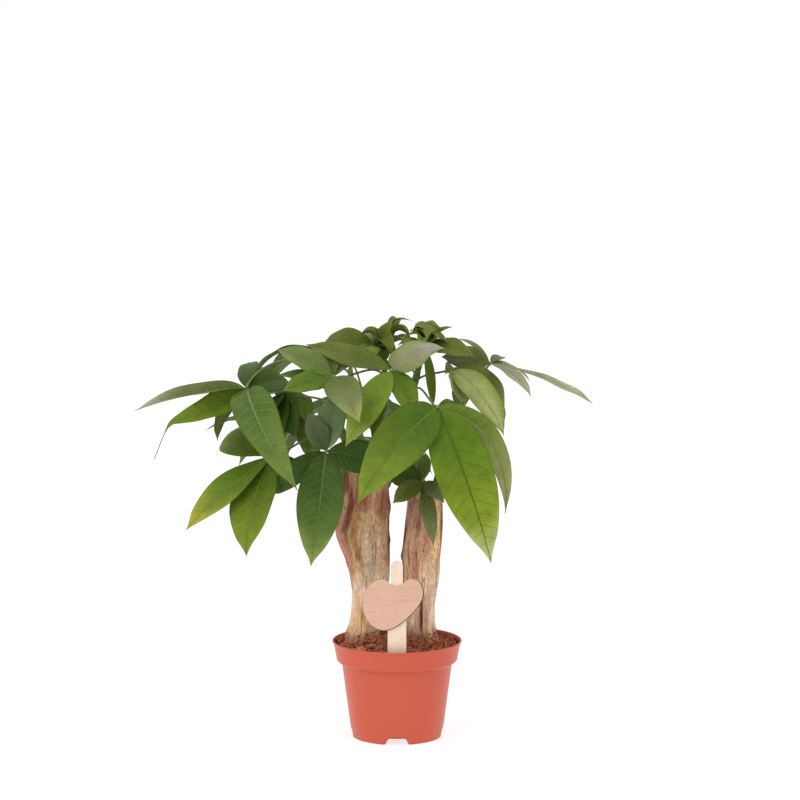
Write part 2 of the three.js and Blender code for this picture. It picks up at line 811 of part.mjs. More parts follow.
// The plain plate, about 55 wide and 48 high: a broad left lobe and a smaller right lobe with a
// dip between them, and a rounded lower end.
function tagPlate() {
  const outline = new THREE.Shape();
  outline.moveTo(-12, -23);
  outline.bezierCurveTo(-20, -21, -27.5, -11, -27.5, 2);
  outline.bezierCurveTo(-27.5, 14, -20, 25, -11, 25);
  outline.bezierCurveTo(-4, 25, -3.5, 18, 2, 18);
  outline.bezierCurveTo(8, 18, 10, 25.5, 17, 25.5);
  outline.bezierCurveTo(25, 25.5, 28, 18, 27, 9);
  outline.bezierCurveTo(26, 0, 2, -27, -12, -23);
  const middle = new THREE.Vector2(...TAG.plateMiddle);
  const points = outline.getPoints(TAG.curveSegments).map((point) => point.add(middle));
  return leaned(new THREE.Shape(points), TAG.plateThickness, TAG.stakeThickness / 2 + GAP);
}

// A flat piece of the tag: drawn upright, then leaned to the viewer and set at the stake's foot.
function leaned(outline, thickness, back) {
  const { curveSegments } = TAG;
  const settings = { depth: thickness, bevelEnabled: false, curveSegments };
  const slab = new THREE.ExtrudeGeometry(outline, settings)
    .translate(0, 0, back)
    .rotateX(Math.PI / 2 + THREE.MathUtils.degToRad(TAG.lean))
    .translate(...TAG.foot);
  return solidOf(slab);
}

// ---------- the assembly ----------

const plant = new THREE.Group();
function add(name, solid, material) {
  const mesh = new THREE.Mesh(geometryOf(solid), material);
  mesh.name = name;
  plant.add(mesh);
}

add("pot", pot(), MATERIALS.terracotta);

add("soil", soil([...Object.values(TRUNKS).map((spec) => trunk(spec, GAP)), stake(GAP)]), MATERIALS.soil);

for (const [name, spec] of Object.entries(TRUNKS)) {
  const sprouting = Object.values(SHOOTS).filter((one) => one.trunk === name);
  const body = sprouting.reduce((solid, one) => solid.subtract(shoot(one, GAP)), trunk(spec));
  add(name, body, MATERIALS.bark);
}
for (const [name, spec] of Object.entries(SHOOTS)) add(name, shoot(spec), MATERIALS.shoot);
for (const [name, spec] of Object.entries(LEAVES)) add(name, leaf(spec), MATERIALS.leaf);
add("tag_stake", stake(), MATERIALS.wood);
add("tag_plate", tagPlate(), MATERIALS.wood);

export default plant;
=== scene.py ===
"""A small potted money tree: two cut trunks, green shoots and fans of long leaflets in a plastic pot.

Everything is in metres, +Z up. The origin is the middle of the pot's underside, +X is the viewer's
right and the viewer stands at -Y. The tables are in millimetres, as the solids are drawn.
"""

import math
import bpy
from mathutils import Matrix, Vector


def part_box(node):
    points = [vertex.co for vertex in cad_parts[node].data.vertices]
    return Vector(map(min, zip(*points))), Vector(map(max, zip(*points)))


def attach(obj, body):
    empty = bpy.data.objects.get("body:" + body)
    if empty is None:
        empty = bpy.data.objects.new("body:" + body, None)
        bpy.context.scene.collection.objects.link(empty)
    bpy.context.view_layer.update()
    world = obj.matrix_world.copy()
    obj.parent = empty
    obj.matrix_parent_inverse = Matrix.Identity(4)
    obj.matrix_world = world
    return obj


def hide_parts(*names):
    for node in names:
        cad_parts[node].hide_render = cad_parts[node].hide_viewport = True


bl_info = {
    "name": "Potted Money Tree",
    "version": (1, 0, 0),
    "blender": (4, 5, 0),
    "location": "3D Viewport > Sidebar > Money Tree",
    "description": "Builds a small potted money tree with a plain wooden tag, and a pale studio",
    "category": "Add Mesh",
}

import bmesh
import bpy
import numpy as np
from bpy.props import FloatProperty, FloatVectorProperty, IntProperty, PointerProperty
from mathutils import Vector, noise

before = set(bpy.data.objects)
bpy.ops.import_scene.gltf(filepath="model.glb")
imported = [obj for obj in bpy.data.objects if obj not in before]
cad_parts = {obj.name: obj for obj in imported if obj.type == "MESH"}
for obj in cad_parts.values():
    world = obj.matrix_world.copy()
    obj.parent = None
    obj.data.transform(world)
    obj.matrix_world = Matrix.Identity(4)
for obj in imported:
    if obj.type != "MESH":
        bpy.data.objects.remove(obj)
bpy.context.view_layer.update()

MM = 0.001
TAU = 2 * math.pi

# Height at which the root flare of the trunks dies out.
FLARE_TOP = 116 * MM

# How the side veins of a leaflet slant and curve to the tip, over its length.
SIDE_SLANT = 0.38
SIDE_CURVE = 1.9

# ---------------------------------------------------------------- tables, in millimetres

# The trunks. sections, from the buried foot to the sawn top: height, middle x, middle y, half width
# and half depth. flare: lobes of the root flare, their turn and depth. bumps, which stand out or cut
# in: turn round the trunk in degrees (0 is the viewer's right, 270 the front), height, half width
# round the trunk, half height and how far they stand out. rosy: how much more of the bark is rosy.
# patches of colour on the bark: tint, turn, height, half width in degrees and half height. The dark
# patches near the sawn tops are partly painted shade from the leaves above.
TRUNKS = {
    "trunk_left": {
        "sections": [
            (66, -29, 8, 12, 12),
            (84, -32, 7, 15.5, 15),
            (94, -32.5, 7, 15.5, 15),
            (105, -29.5, 7, 14.4, 14.5),
            (126, -26.4, 6, 15.5, 15),
            (144, -24.9, 6, 17.9, 16.5),
            (163, -27, 5, 20.4, 17.5),
            (180, -30.8, 5, 23.8, 19),
            (191, -32.2, 5, 25.1, 19.8),
            (204, -30.5, 5, 23, 19.5),
            (222, -28.5, 5, 21.2, 19),
            (250, -28.5, 5, 20.8, 18.5),
        ],
        "flare": (3, 0.4, 0.1),
        "bumps": [
            (352, 214, 5, 6, 1.6),
            (5, 183, 4, 4, 1.0),
            (300, 150, 5, 5, 0.8),
            (200, 160, 5, 6, 1.2),
            (80, 175, 6, 7, 1.8),
            (262, 205, 2.2, 22, -1.3),
            (236, 190, 2.0, 26, -1.2),
            (287, 120, 1.6, 14, -0.8),
            (318, 225, 2.0, 20, -1.2),
        ],
        "rosy": 0.0,
        "patches": [
            ("ash", 292, 178, 34, 34),
            ("ash", 262, 150, 26, 16),
            ("russet", 316, 216, 34, 20),
            ("russet", 262, 222, 40, 18),
            ("rose", 200, 188, 34, 34),
            ("olive", 252, 186, 13, 40),
            ("umber", 229, 214, 9, 30),
            ("umber", 350, 190, 11, 60),
            ("umber", 200, 240, 26, 15),
            ("gold", 240, 110, 66, 24),
            ("olive", 216, 160, 12, 20),
            ("rose", 196, 168, 30, 22),
        ],
    },
    "trunk_right": {
        "sections": [
            (66, 20, 8, 11, 12),
            (84, 21.7, 8, 16.3, 16),
            (94, 21.7, 8, 15.7, 15.5),
            (104, 21.3, 8, 14.5, 14.8),
            (126, 21.2, 7, 14.8, 14.8),
            (145, 22.5, 6, 16.6, 15.5),
            (163, 22.4, 6, 17.2, 16),
            (182, 23.4, 5, 17.8, 16.5),
            (201, 24.6, 5, 17.4, 16.5),
            (218, 25.5, 5, 16.2, 16),
            (230, 25.5, 5, 15.4, 15),
        ],
        "flare": (4, 1.1, 0.18),
        "bumps": [
            (184, 168, 5, 5, 1.8),
            (190, 142, 5, 6, 1.2),
            (20, 128, 5, 6, 1.0),
            (100, 150, 6, 8, 1.8),
            (274, 108, 2.4, 22, -2.6),
            (300, 196, 2.2, 20, -1.2),
            (246, 205, 1.8, 16, -1.2),
            (255, 150, 1.6, 22, -0.9),
            (330, 165, 1.8, 30, -0.9),
        ],
        "rosy": 0.4,
        "patches": [
            ("mauve", 244, 208, 50, 32),
            ("rose", 246, 166, 34, 34),
            ("slate", 274, 212, 9, 14),
            ("umber", 258, 202, 8, 24),
            ("brick", 280, 187, 8, 9),
            ("gold", 318, 186, 24, 40),
            ("ash", 326, 138, 26, 26),
            ("umber", 194, 160, 20, 70),
            ("umber", 346, 206, 9, 40),
            ("rose", 292, 106, 9, 20),
            ("cleft", 277, 112, 7, 22),
            ("gold", 312, 98, 18, 12),
        ],
    },
}

# Colours of the patches on the bark.
BARK_TINTS = {
    "ash": (228, 208, 182),
    "slate": (166, 158, 148),
    "gold": (248, 204, 154),
    "olive": (190, 138, 88),
    "rose": (208, 150, 132),
    "mauve": (170, 128, 116),
    "russet": (176, 116, 92),
    "brick": (192, 112, 90),
    "umber": (128, 84, 62),
    "cleft": (104, 56, 38),
}

# Green shoots from the trunks' tops: points of the line, and the radius at the root and at the tip.
SHOOTS = {
    "shoot_left": (
        ((-37, 2, 236), (-43, 3, 264), (-53, 6, 290), (-62, 9, 320), (-71, 12, 350)),
        (4.6, 2.4),
    ),
    "shoot_middle": (((-23, -1, 236), (-16, 3, 280), (-10, 6, 325), (-15, 2, 361)), (4.6, 2.4)),
    "shoot_back_left": (((-30, 12, 236), (-33, 32, 268), (-40, 58, 300), (-44, 74, 334)), (4.2, 2.2)),
    "shoot_right": (((21, 0, 216), (17, 1, 270), (15, 2, 320), (24, 2, 358)), (4.8, 2.5)),
    "shoot_back_right": (((31, 9, 218), (45, 25, 258), (60, 42, 298), (66, 54, 330)), (4.2, 2.2)),
}

# Colours of the leaflets' upper side, as sRGB: near the hub, near the tip, and of the veins.
# The greyish tones sheen, sage, grey, mauve, teal, slate and dusty hold painted sheen: the green
# lightened by the whitish reflection of the bright surroundings. The pale veins of sheen are a
# painted highlight along the midrib. dusty is painted reflection, not dust.
TONES = {
    "dark": ((46, 68, 4), (72, 94, 18), (88, 112, 40)),
    "deep": ((48, 74, 18), (66, 94, 26), (90, 114, 52)),
    "teal": ((70, 88, 48), (96, 112, 74), (112, 128, 88)),
    "mid": ((70, 98, 8), (96, 120, 20), (112, 132, 44)),
    "lit": ((72, 98, 12), (112, 130, 30), (124, 142, 44)),
    "bright": ((66, 92, 4), (118, 138, 40), (98, 124, 30)),
    "lime": ((76, 104, 2), (134, 150, 34), (66, 94, 4)),
    "sheen": ((68, 94, 16), (106, 126, 54), (124, 146, 90)),
    "olive": ((74, 88, 12), (94, 104, 34), (108, 118, 50)),
    "sage": ((76, 90, 24), (122, 130, 80), (122, 128, 76)),
    "grey": ((118, 118, 76), (162, 160, 128), (140, 136, 98)),
    "mauve": ((124, 128, 82), (158, 154, 136), (172, 154, 142)),
    "pale": ((128, 138, 76), (166, 172, 108), (148, 130, 98)),
    "fern": ((78, 100, 34), (106, 122, 58), (126, 140, 88)),
    "moss": ((76, 90, 30), (104, 118, 54), (104, 116, 60)),
    "fresh": ((92, 118, 20), (118, 140, 42), (124, 142, 56)),
    "slate": ((100, 124, 76), (118, 142, 94), (136, 154, 110)),
    "young": ((74, 92, 18), (102, 116, 36), (122, 132, 60)),
    "curl": ((100, 124, 24), (140, 156, 60), (150, 160, 76)),
    "leafy": ((58, 84, 22), (86, 110, 38), (110, 134, 66)),
    "dusty": ((84, 112, 22), (158, 154, 100), (132, 138, 84)),
}

# Colours that a leaflet's end fades to, and the share of the length where that starts. The dull
# end is painted sheen: the greyish white of a tip that reflects the bright surroundings at a
# grazing angle.
TIPS = {
    "usual": ((122, 128, 66), 0.86),
    "pale": ((178, 186, 130), 0.68),
    "fresh": ((146, 160, 82), 0.64),
    "dull": ((176, 178, 156), 0.55),
    "yellow": ((172, 164, 62), 0.5),
    "lemon": ((146, 152, 72), 0.62),
    "brown": ((92, 62, 58), 0.72),
}


def leaflet(heading, fall, length, tone, **unusual):
    """A leaflet of the table.

    heading: seen from above, in degrees, where 0 is +X and 90 is +Y. fall: below level, in degrees.
    unusual: width in millimetres; arch, bow and spring of the midrib, over the length; roll about it
    in degrees; fold of the two halves; widest, as a share of the length; tail, the share of the
    length that the drawn-out tip takes; drip, how far the tip hangs down; quilt, over the usual
    bulging; rim and tip, the colours there.
    """
    return heading, fall, length, tone, unusual


# Compound leaves. shoot and at: where the stalk leaves, 0 at the shoot's root and 1 at its tip. hub:
# where the leaflets meet. face: the way the upper surface looks. arrive: the way the stalk comes to
# the hub, if not as usual. red: how much of the stalk is red brown.
LEAVES = {
    "leaf_far_left": {
        "shoot": "shoot_left", "at": 0.92, "hub": (-137, -20, 327), "face": (-0.25, -0.35, 0.9),
        "arrive": (-0.35, -0.15, -0.92),
        "leaflets": [
            # Its dull tip is painted sheen.
            leaflet(187, 11, 104, "sage", width=24, arch=0.048, fold=0.5, widest=0.38, tip="dull"),
            leaflet(
                204, 20, 95, "fresh", width=26, arch=-0.016, spring=10, fold=0.4, widest=0.28,
                tail=0.12, drip=28, roll=-35, tip="brown",
            ),
            leaflet(307, 46, 117, "sheen", width=39, arch=0.17, widest=0.3, bow=0.06, fold=0.35),
            leaflet(147, 57, 61, "olive", width=24, roll=40),
            leaflet(84, -22, 50, "dark", width=20),
            leaflet(41, -2, 50, "dark", width=30, roll=35),
        ],
    },
    "leaf_low_left": {
        "shoot": "shoot_left", "at": 0.4, "hub": (-116, -5, 262), "face": (-0.3, -0.6, 0.7),
        "leaflets": [
            leaflet(208, 36, 105, "lit", width=34, arch=0.05, widest=0.5, tip="yellow"),
            leaflet(251, 54, 102, "lit", width=43, arch=0.06, widest=0.44, bow=0.03),
            leaflet(147, -2, 62, "lit", width=34, arch=0.27, tail=0.16, drip=8, widest=0.55, tip="brown"),
            leaflet(100, -11, 69, "olive", width=26),
            leaflet(20, 38, 48, "dark", width=20),
        ],
    },
    "leaf_middle_left": {
        "shoot": "shoot_middle", "at": 0.3, "hub": (-64, -40, 272), "face": (0, -0.9, 0.45),
        "leaflets": [
            leaflet(
                242, 74, 105, "leafy", width=42, arch=0.06, bow=-0.01, quilt=1.5, widest=0.41,
                tip="fresh",
            ),
            leaflet(154, 38, 72, "deep", width=22),
            leaflet(120, -45, 44, "teal", width=20, roll=-20),
            leaflet(62, -69, 58, "slate", width=26),
            leaflet(178, -64, 38, "teal", width=22),
            leaflet(5, 16, 62, "deep", width=32),
        ],
    },
    "leaf_upper_left": {
        "shoot": "shoot_middle", "at": 0.78, "hub": (-57, -58, 342), "face": (-0.2, -0.5, 0.85), "red": 0.5,
        "leaflets": [
            leaflet(156, -21, 60, "fern", width=26, arch=0.09),
            leaflet(205, 12, 50, "mid", width=24, arch=0.04, roll=-20),
            leaflet(166, 0, 52, "dark", width=15, arch=0.02),
            leaflet(291, 26, 77, "sage", width=31, arch=0.1, widest=0.4, tip="lemon"),
            leaflet(108, -16, 58, "sage", width=28, arch=0.08),
            leaflet(70, -8, 52, "sage", width=22),
        ],
    },
    "leaf_middle": {
        "shoot": "shoot_right", "at": 0.84, "hub": (-5, -50, 347), "face": (0, -0.6, 0.8), "red": 0.85,
        "leaflets": [
            leaflet(221, 50, 84, "fresh", width=30, arch=0.1, widest=0.45, bow=-0.03, tip="lemon"),
            leaflet(320, 58, 50, "bright", width=24, bow=-0.02, widest=0.4),
            leaflet(238, 62, 70, "olive", width=13),
            # A painted sheen of mauve grey down the middle; its own green shows only at the rim.
            leaflet(12, -20, 53, "mauve", width=35, widest=0.3, bow=-0.09, fold=-0.1, rim="fern"),
            leaflet(162, -14, 84, "olive", width=27, arch=0.02),
            leaflet(80, 8, 52, "olive", width=24),
        ],
    },
    "leaf_big_front": {
        "shoot": "shoot_right", "at": 0.72, "hub": (36, -75, 317), "face": (0.1, -0.85, 0.5),
        "leaflets": [
            leaflet(210, 45, 115, "bright", width=47, arch=0.08, widest=0.35, bow=0.04),
            leaflet(319, 65, 148, "lime", width=53, arch=0.05, widest=0.4, bow=-0.01, tip="pale"),
            # The dusty tone greys towards the tip with painted reflection.
            leaflet(
                349, 57, 113, "dusty", width=24, arch=0.03, bow=-0.15, fold=0.3, roll=5, spring=0.6,
                widest=0.34,
            ),
            leaflet(70, 22, 60, "mid", width=24),
            leaflet(120, 38, 60, "mid", width=24),
        ],
    },
    "leaf_right": {
        "shoot": "shoot_right", "at": 0.8, "hub": (51, -10, 344), "face": (0.6, 0.3, 0.74), "red": 0.9,
        "leaflets": [
            leaflet(325, 46, 80, "pale", width=34, roll=58, widest=0.4, rim="lit"),
            leaflet(27, 40, 70, "moss", width=34, arch=0.18, roll=55),
            leaflet(294, 59, 36, "pale", width=24, roll=50),
            leaflet(55, 35, 60, "sage", width=22),
            leaflet(100, 14, 40, "olive", width=14),
        ],
    },
    "leaf_far_right": {
        "shoot": "shoot_back_right", "at": 0.9, "hub": (86, 14, 346), "face": (0.2, -0.2, 0.95), "red": 0.4,
        "leaflets": [
            leaflet(352, 21, 102, "grey", width=20, arch=0.06, widest=0.66),
            leaflet(314, 27, 58, "grey", width=18, arch=0.1),
            leaflet(66, -1, 34, "sage", width=11),
            leaflet(133, -14, 60, "sage", width=9, arch=0.18),
            leaflet(187, -8, 46, "sage", width=24, roll=-50, arch=0.08),
            leaflet(35, 24, 50, "grey", width=16),
        ],
    },
    "leaf_top_left": {
        "shoot": "shoot_middle", "at": 0.97, "hub": (-20, -8, 364), "face": (-0.1, -0.2, 0.97), "red": 0.6,
        "leaflets": [
            leaflet(152, 0, 54, "olive", width=26, arch=0.14, roll=-45),
            leaflet(330, -53, 31, "young", width=12, arch=0.05, roll=70),
            leaflet(110, 11, 70, "olive", width=28, arch=0.2),
            leaflet(88, 8, 62, "olive", width=18, arch=0.2),
            leaflet(205, 34, 22, "young", width=15, arch=0.5, fold=-0.4),
            leaflet(262, 46, 21, "curl", width=16, arch=0.6, fold=-0.3),
            leaflet(312, 20, 24, "young", width=15, arch=0.5, fold=0.7),
            leaflet(345, 38, 20, "young", width=14, arch=0.4, fold=0.6),
            leaflet(180, -30, 17, "young", width=12, arch=0.6, fold=0.8),
        ],
    },
    "leaf_young_middle": {
        "shoot": "shoot_middle", "at": 1, "hub": (-8, 4, 365), "face": (0.2, 0, 0.98), "red": 0.6,
        "leaflets": [
            leaflet(350, -43, 31, "curl", width=9, arch=0.4, fold=0.5),
            leaflet(70, -32, 34, "young", width=11, arch=0.3, fold=0.9),
            leaflet(345, -14, 22, "young", width=13, arch=0.5, fold=0.9),
            leaflet(150, -32, 20, "young", width=10, arch=0.2, fold=0.9),
            leaflet(250, -20, 20, "young", width=13, arch=0.6, fold=-0.5),
            leaflet(320, 30, 22, "curl", width=14, arch=0.6, fold=0.5),
            leaflet(240, 60, 22, "young", width=13, arch=0.5, fold=0.6),
            leaflet(8, 2, 25, "young", width=17, arch=0.42, fold=-0.5),
        ],
    },
    "leaf_top_right": {
        "shoot": "shoot_right", "at": 0.98, "hub": (26, -2, 363), "face": (0.1, -0.1, 0.98),
        "leaflets": [
            leaflet(345, -8, 22, "young", width=22, arch=0.7, fold=-0.5),
            leaflet(245, -50, 26, "young", width=30, arch=0.5, fold=-0.6, widest=0.55),
            leaflet(178, -24, 20, "young", width=18, arch=0.7, fold=-0.4),
            leaflet(352, 11, 46, "olive", width=22, arch=0.14, roll=35),
            leaflet(300, 76, 58, "mid", width=11, arch=0.1, bow=0.05),
            leaflet(85, 5, 58, "olive", width=24, arch=0.2),
            leaflet(272, -22, 24, "young", width=22, arch=0.8, fold=-0.5),
            leaflet(60, -46, 28, "young", width=24, arch=0.6, fold=-0.5),
            leaflet(315, -22, 21, "young", width=17, arch=0.7, fold=-0.4),
            leaflet(255, 8, 20, "curl", width=12, arch=0.6, fold=0.7),
            leaflet(5, -35, 31, "young", width=9, arch=0.12, fold=0.7),
            leaflet(120, -44, 27, "young", width=22, arch=0.6, fold=-0.5),
            leaflet(200, -4, 27, "young", width=21, arch=0.34, fold=-0.45),
            leaflet(214, 26, 22, "curl", width=16, arch=0.5, fold=-0.4),
        ],
    },
    "leaf_low_front": {
        "shoot": "shoot_right", "at": 0.14, "hub": (24, -33, 244), "face": (0, -0.8, 0.5),
        "leaflets": [
            leaflet(198, 34, 35, "olive", width=18),
            leaflet(324, 79, 60, "sage", width=14),
            leaflet(156, -5, 36, "dark", width=24),
            leaflet(318, 35, 31, "sage", width=14),
            leaflet(85, -40, 34, "mid", width=12, arch=0.05),
        ],
    },
    "leaf_inner_left": {
        "shoot": "shoot_left", "at": 0.62, "hub": (-102, 14, 320), "face": (-0.2, -0.2, 0.95),
        "leaflets": [
            leaflet(245, 72, 55, "dark", width=24),
            leaflet(8, 72, 67, "mid", width=18, widest=0.6),
            leaflet(200, 62, 50, "dark", width=24),
            leaflet(300, 66, 46, "deep", width=22, roll=20),
            leaflet(90, 20, 60, "olive"),
            leaflet(75, 38, 48, "dark"),
            leaflet(15, 2, 42, "deep", width=12),
            leaflet(335, 50, 44, "mid", width=17),
            leaflet(60, 34, 52, "deep", width=20),
            leaflet(140, 25, 56, "olive"),
        ],
    },
    "leaf_back_left": {
        "shoot": "shoot_back_left", "at": 0.95, "hub": (-74, 56, 354), "face": (-0.2, 0.2, 0.95),
        "leaflets": [
            leaflet(209, 27, 77, "dark", width=15, arch=0.245, fold=0.5),
            leaflet(150, 30, 72, "mid"),
            leaflet(122, 24, 90, "bright"),
            leaflet(80, 12, 80, "mid"),
            leaflet(35, 5, 56, "olive"),
        ],
    },
    "leaf_back": {
        "shoot": "shoot_back_left", "at": 1, "hub": (-30, 106, 302), "face": (0, 0.4, 0.9),
        "leaflets": [
            leaflet(75, 30, 94, "lime"),
            leaflet(120, 30, 92, "bright"),
            leaflet(165, 22, 80, "mid"),
            leaflet(38, 36, 74, "mid"),
            leaflet(215, 10, 50, "dark"),
        ],
    },
    "leaf_back_right": {
        "shoot": "shoot_back_right", "at": 1, "hub": (62, 98, 322), "face": (0.1, 0.4, 0.9),
        "leaflets": [
            leaflet(70, 30, 84, "bright"),
            leaflet(44, 42, 78, "mid"),
            leaflet(98, 64, 40, "mid", width=18),
            leaflet(15, 46, 54, "olive"),
            leaflet(340, 56, 60, "dark"),
        ],
    },
    "leaf_low_right": {
        "shoot": "shoot_back_right", "at": 0.5, "hub": (72, 64, 282), "face": (0.3, 0.4, 0.86),
        "leaflets": [
            leaflet(70, 46, 80, "dark"),
            leaflet(110, 50, 84, "dark"),
            leaflet(20, 50, 46, "mid"),
            leaflet(300, 50, 52, "dark"),
            leaflet(150, 30, 50, "deep"),
        ],
    },
    "leaf_low_back_left": {
        "shoot": "shoot_back_left", "at": 0.35, "hub": (-92, 64, 284), "face": (-0.3, 0.3, 0.9),
        "leaflets": [
            leaflet(190, 4, 90, "dark", width=26),
            leaflet(150, 34, 82, "mid"),
            leaflet(112, 44, 86, "dark"),
            leaflet(70, 42, 66, "dark"),
            leaflet(235, 35, 56, "deep"),
        ],
    },
    "leaf_low_back": {
        "shoot": "shoot_back_left", "at": 0.5, "hub": (-16, 104, 262), "face": (0, 0.5, 0.86),
        "leaflets": [
            leaflet(90, 50, 92, "dark"),
            leaflet(50, 46, 84, "mid"),
            leaflet(134, 44, 84, "dark"),
            leaflet(175, 30, 56, "deep"),
            leaflet(5, 34, 60, "deep"),
        ],
    },
}


# ---------------------------------------------------------------- settings


def length_mm(name, description, default, low=0.0):
    """A length property in metres, with its default in millimetres."""
    return FloatProperty(
        name=name, description=description, default=default * MM, min=low, unit="LENGTH", precision=4
    )


def colour(name, description, red, green, blue):
    """A colour property, with its default as sRGB from 0 to 255."""
    default = srgb((red, green, blue))
    return FloatVectorProperty(
        name=name, description=description, default=default, size=3, min=0.0, max=1.0, subtype="COLOR"
    )


def share(name, description, default):
    """A property from 0 to 1."""
    return FloatProperty(
        name=name, description=description, default=default, min=0.0, max=1.0, subtype="FACTOR"
    )


def whole_number(name, description, default, low=0):
    """A property that counts faces, veins or crumbs."""
    return IntProperty(name=name, description=description, default=default, min=low)


def light_strength(name, description, default):
    """The strength of a light."""
    return FloatProperty(name=name, description=description, default=default, min=0)


def srgb(rgb):
    """A linear colour from an sRGB one of 0 to 255."""
    return tuple(((c / 255 + 0.055) / 1.055) ** 2.4 if c > 10 else c / 255 / 12.92 for c in rgb)


class PotSettings(bpy.types.PropertyGroup):
    rim_depth: length_mm("Rim band", "Height of the band under the lip", 17.4)
    shoulder: length_mm("Shoulder", "Height over which the band turns in to the wall", 4.5)
    band_foot_radius: length_mm("Band foot", "Outer radius at the band's foot", 56)
    neck_radius: length_mm("Neck", "Outer radius of the wall under the band", 51)
    base_radius: length_mm("Base", "Outer radius at the foot", 42.2)
    wall: length_mm("Wall", "Thickness of the plastic", 1.4)
    floor_height: length_mm("Floor", "Underside of the floor above the table", 6)
    boss_radius: length_mm("Boss", "Radius of the flat boss under the floor", 12)
    notch_width: length_mm("Notch", "Width of a drain notch at the table", 24)
    notch_top_width: length_mm("Notch top", "Width of a drain notch at its top", 15.5)
    notch_height: length_mm("Notch height", "Height of the drain notches", 5.8)
    sides: whole_number("Sides", "Faces round the pot", 288, 48)
    plastic: colour("Plastic", "Colour of the moulded plastic", 196, 81, 54)


class SoilSettings(bpy.types.PropertyGroup):
    edge_height: length_mm("Edge", "Height of the soil at the wall", 86.4)
    mound_height: length_mm("Mound", "Height of the heap round the trunks", 5.6)
    mound_radius: length_mm("Mound radius", "How far out the heap reaches", 46)
    crumbs: whole_number("Crumbs", "Loose crumbs on the surface", 4400)
    fibres: whole_number("Fibres", "Loose fibres on the surface", 260)
    root_hairs: whole_number("Root hairs", "Fine roots out of each trunk's foot", 150)
    clinging: whole_number("Clinging", "Crumbs that cling to each trunk's foot", 420)
    crumb_size: length_mm("Crumb size", "Usual radius of a crumb", 0.85)
    peat: colour("Peat", "Dark crumbs", 112, 54, 38)
    husk: colour("Husk", "Light crumbs and fibres", 218, 140, 100)


class TrunkSettings(bpy.types.PropertyGroup):
    sides: whole_number("Sides", "Faces round a trunk", 168, 24)
    fissure_depth: length_mm("Fissures", "Depth of the fine fissures of the bark", 0.55)
    cream: colour("Cream", "Pale bark of the lower trunk", 252, 224, 196)
    tan: colour("Tan", "Olive tan bark of the upper trunk", 212, 176, 138)
    mauve: colour("Mauve", "Rosy scrapes", 200, 132, 110)
    fissure: colour("Fissure", "Colour in the cracks", 104, 58, 44)
    soiled: colour("Soiled", "Bark at the soil", 150, 92, 62)


class ShootSettings(bpy.types.PropertyGroup):
    sides: whole_number("Sides", "Faces round a shoot", 20, 8)
    young: colour("Young skin", "Green skin of the upper shoot", 104, 120, 50)
    old: colour("Old skin", "Brown skin at the root", 112, 92, 56)


class LeafSettings(bpy.types.PropertyGroup):
    thickness: length_mm("Thickness", "Thickness of a blade at its midrib", 0.6)
    rim_thickness: length_mm("Rim", "Thickness of a blade at its edge", 0.24)
    fold: share("Fold", "Rise of the edges over the midrib, over half width", 0.16)
    quilting: length_mm("Quilting", "How far the blade bulges between its side veins", 0.42)
    wave: length_mm("Wave", "How far the edges wave", 0.9)
    vein_pairs: whole_number("Vein pairs", "Pairs of side veins", 13, 2)
    cell: length_mm("Cell", "Size of a face of the blades", 1.7)
    stalk_radius: length_mm("Stalk radius", "Radius of a stalk midway", 1.0)
    stalk: colour("Stalk", "Green of the stalks", 98, 118, 48)
    stalk_red: colour("Red stalk", "Red brown of the older stalks", 96, 62, 44)


class TagSettings(bpy.types.PropertyGroup):
    lean: FloatProperty(
        name="Lean",
        description="How far the tag leans to the viewer",
        default=math.radians(6),
        subtype="ANGLE",
    )
    stake_width: length_mm("Stake", "Width of the stake", 17)
    tongue_width: length_mm("Tongue", "Width of the stake's upper end", 11)
    stake_thickness: length_mm("Stake thickness", "Thickness of the stake", 2)
    plate_thickness: length_mm("Plate thickness", "Thickness of the plate", 1.6)
    pale: colour("Pale wood", "Wood of the stake", 240, 216, 194)
    pink: colour("Pink wood", "Wood of the plate", 216, 174, 150)
    charred: colour("Charred", "Burnt edge of the plate", 66, 40, 30)


class StudioSettings(bpy.types.PropertyGroup):
    dome: light_strength("Dome", "Strength of the soft light from above", 1.15)
    dome_side: light_strength("Dome side", "Strength of the soft light from the sides", 0.72)
    key: light_strength("Key", "Power of the large lamp over the viewer's left", 26)
    fill: light_strength("Fill", "Power of the lamp at the viewer's right", 5)
    back: light_strength("Back", "Power of the lamp behind and above", 6)
    lens: FloatProperty(name="Lens", description="Focal length", default=0.1286, unit="CAMERA", precision=4)
    floor: colour("Floor", "Colour of the floor", 150, 150, 150)
    glow: light_strength("Glow", "Light of the floor itself", 0.74)


# ---------------------------------------------------------------- numbers and curves


def unit(vector):
    return vector / np.linalg.norm(vector)


def smoothstep(value, low, high):
    t = np.clip((value - low) / (high - low), 0, 1)
    return t * t * (3 - 2 * t)


def mix(a, b, factor):
    return a + (b - a) * factor


def spline(line, steps=24):
    """Points of the smooth curve through line, with knots spaced as the square root of the chords."""
    points = np.array(line, float)
    knots = [2 * points[0] - points[1], *points, 2 * points[-1] - points[-2]]
    t = np.linspace(0, 1, steps, endpoint=False)[:, None]
    out = []
    for a, b, c, d in zip(knots, knots[1:], knots[2:], knots[3:]):
        chords = (b - a, c - b, d - c)
        before, here, after = (math.sqrt(np.linalg.norm(chord)) for chord in chords)
        leave = ((b - a) / before - (c - a) / (before + here) + (c - b) / here) * here
        arrive = ((c - b) / here - (d - b) / (here + after) + (d - c) / after) * here
        square = 3 * (c - b) - 2 * leave - arrive
        cube = 2 * (b - c) + leave + arrive
        out.append(b + leave * t + square * t**2 + cube * t**3)
    out.append(points[-1:])
    return np.concatenate(out)


def along_curve(points, shares):
    """Points at the given shares of a polyline's length."""
    steps = np.linalg.norm(np.diff(points, axis=0), axis=1)
    walked = np.concatenate([[0], np.cumsum(steps)])
    wanted = np.asarray(shares) * walked[-1]
    return np.stack([np.interp(wanted, walked, points[:, axis]) for axis in range(3)], -1)


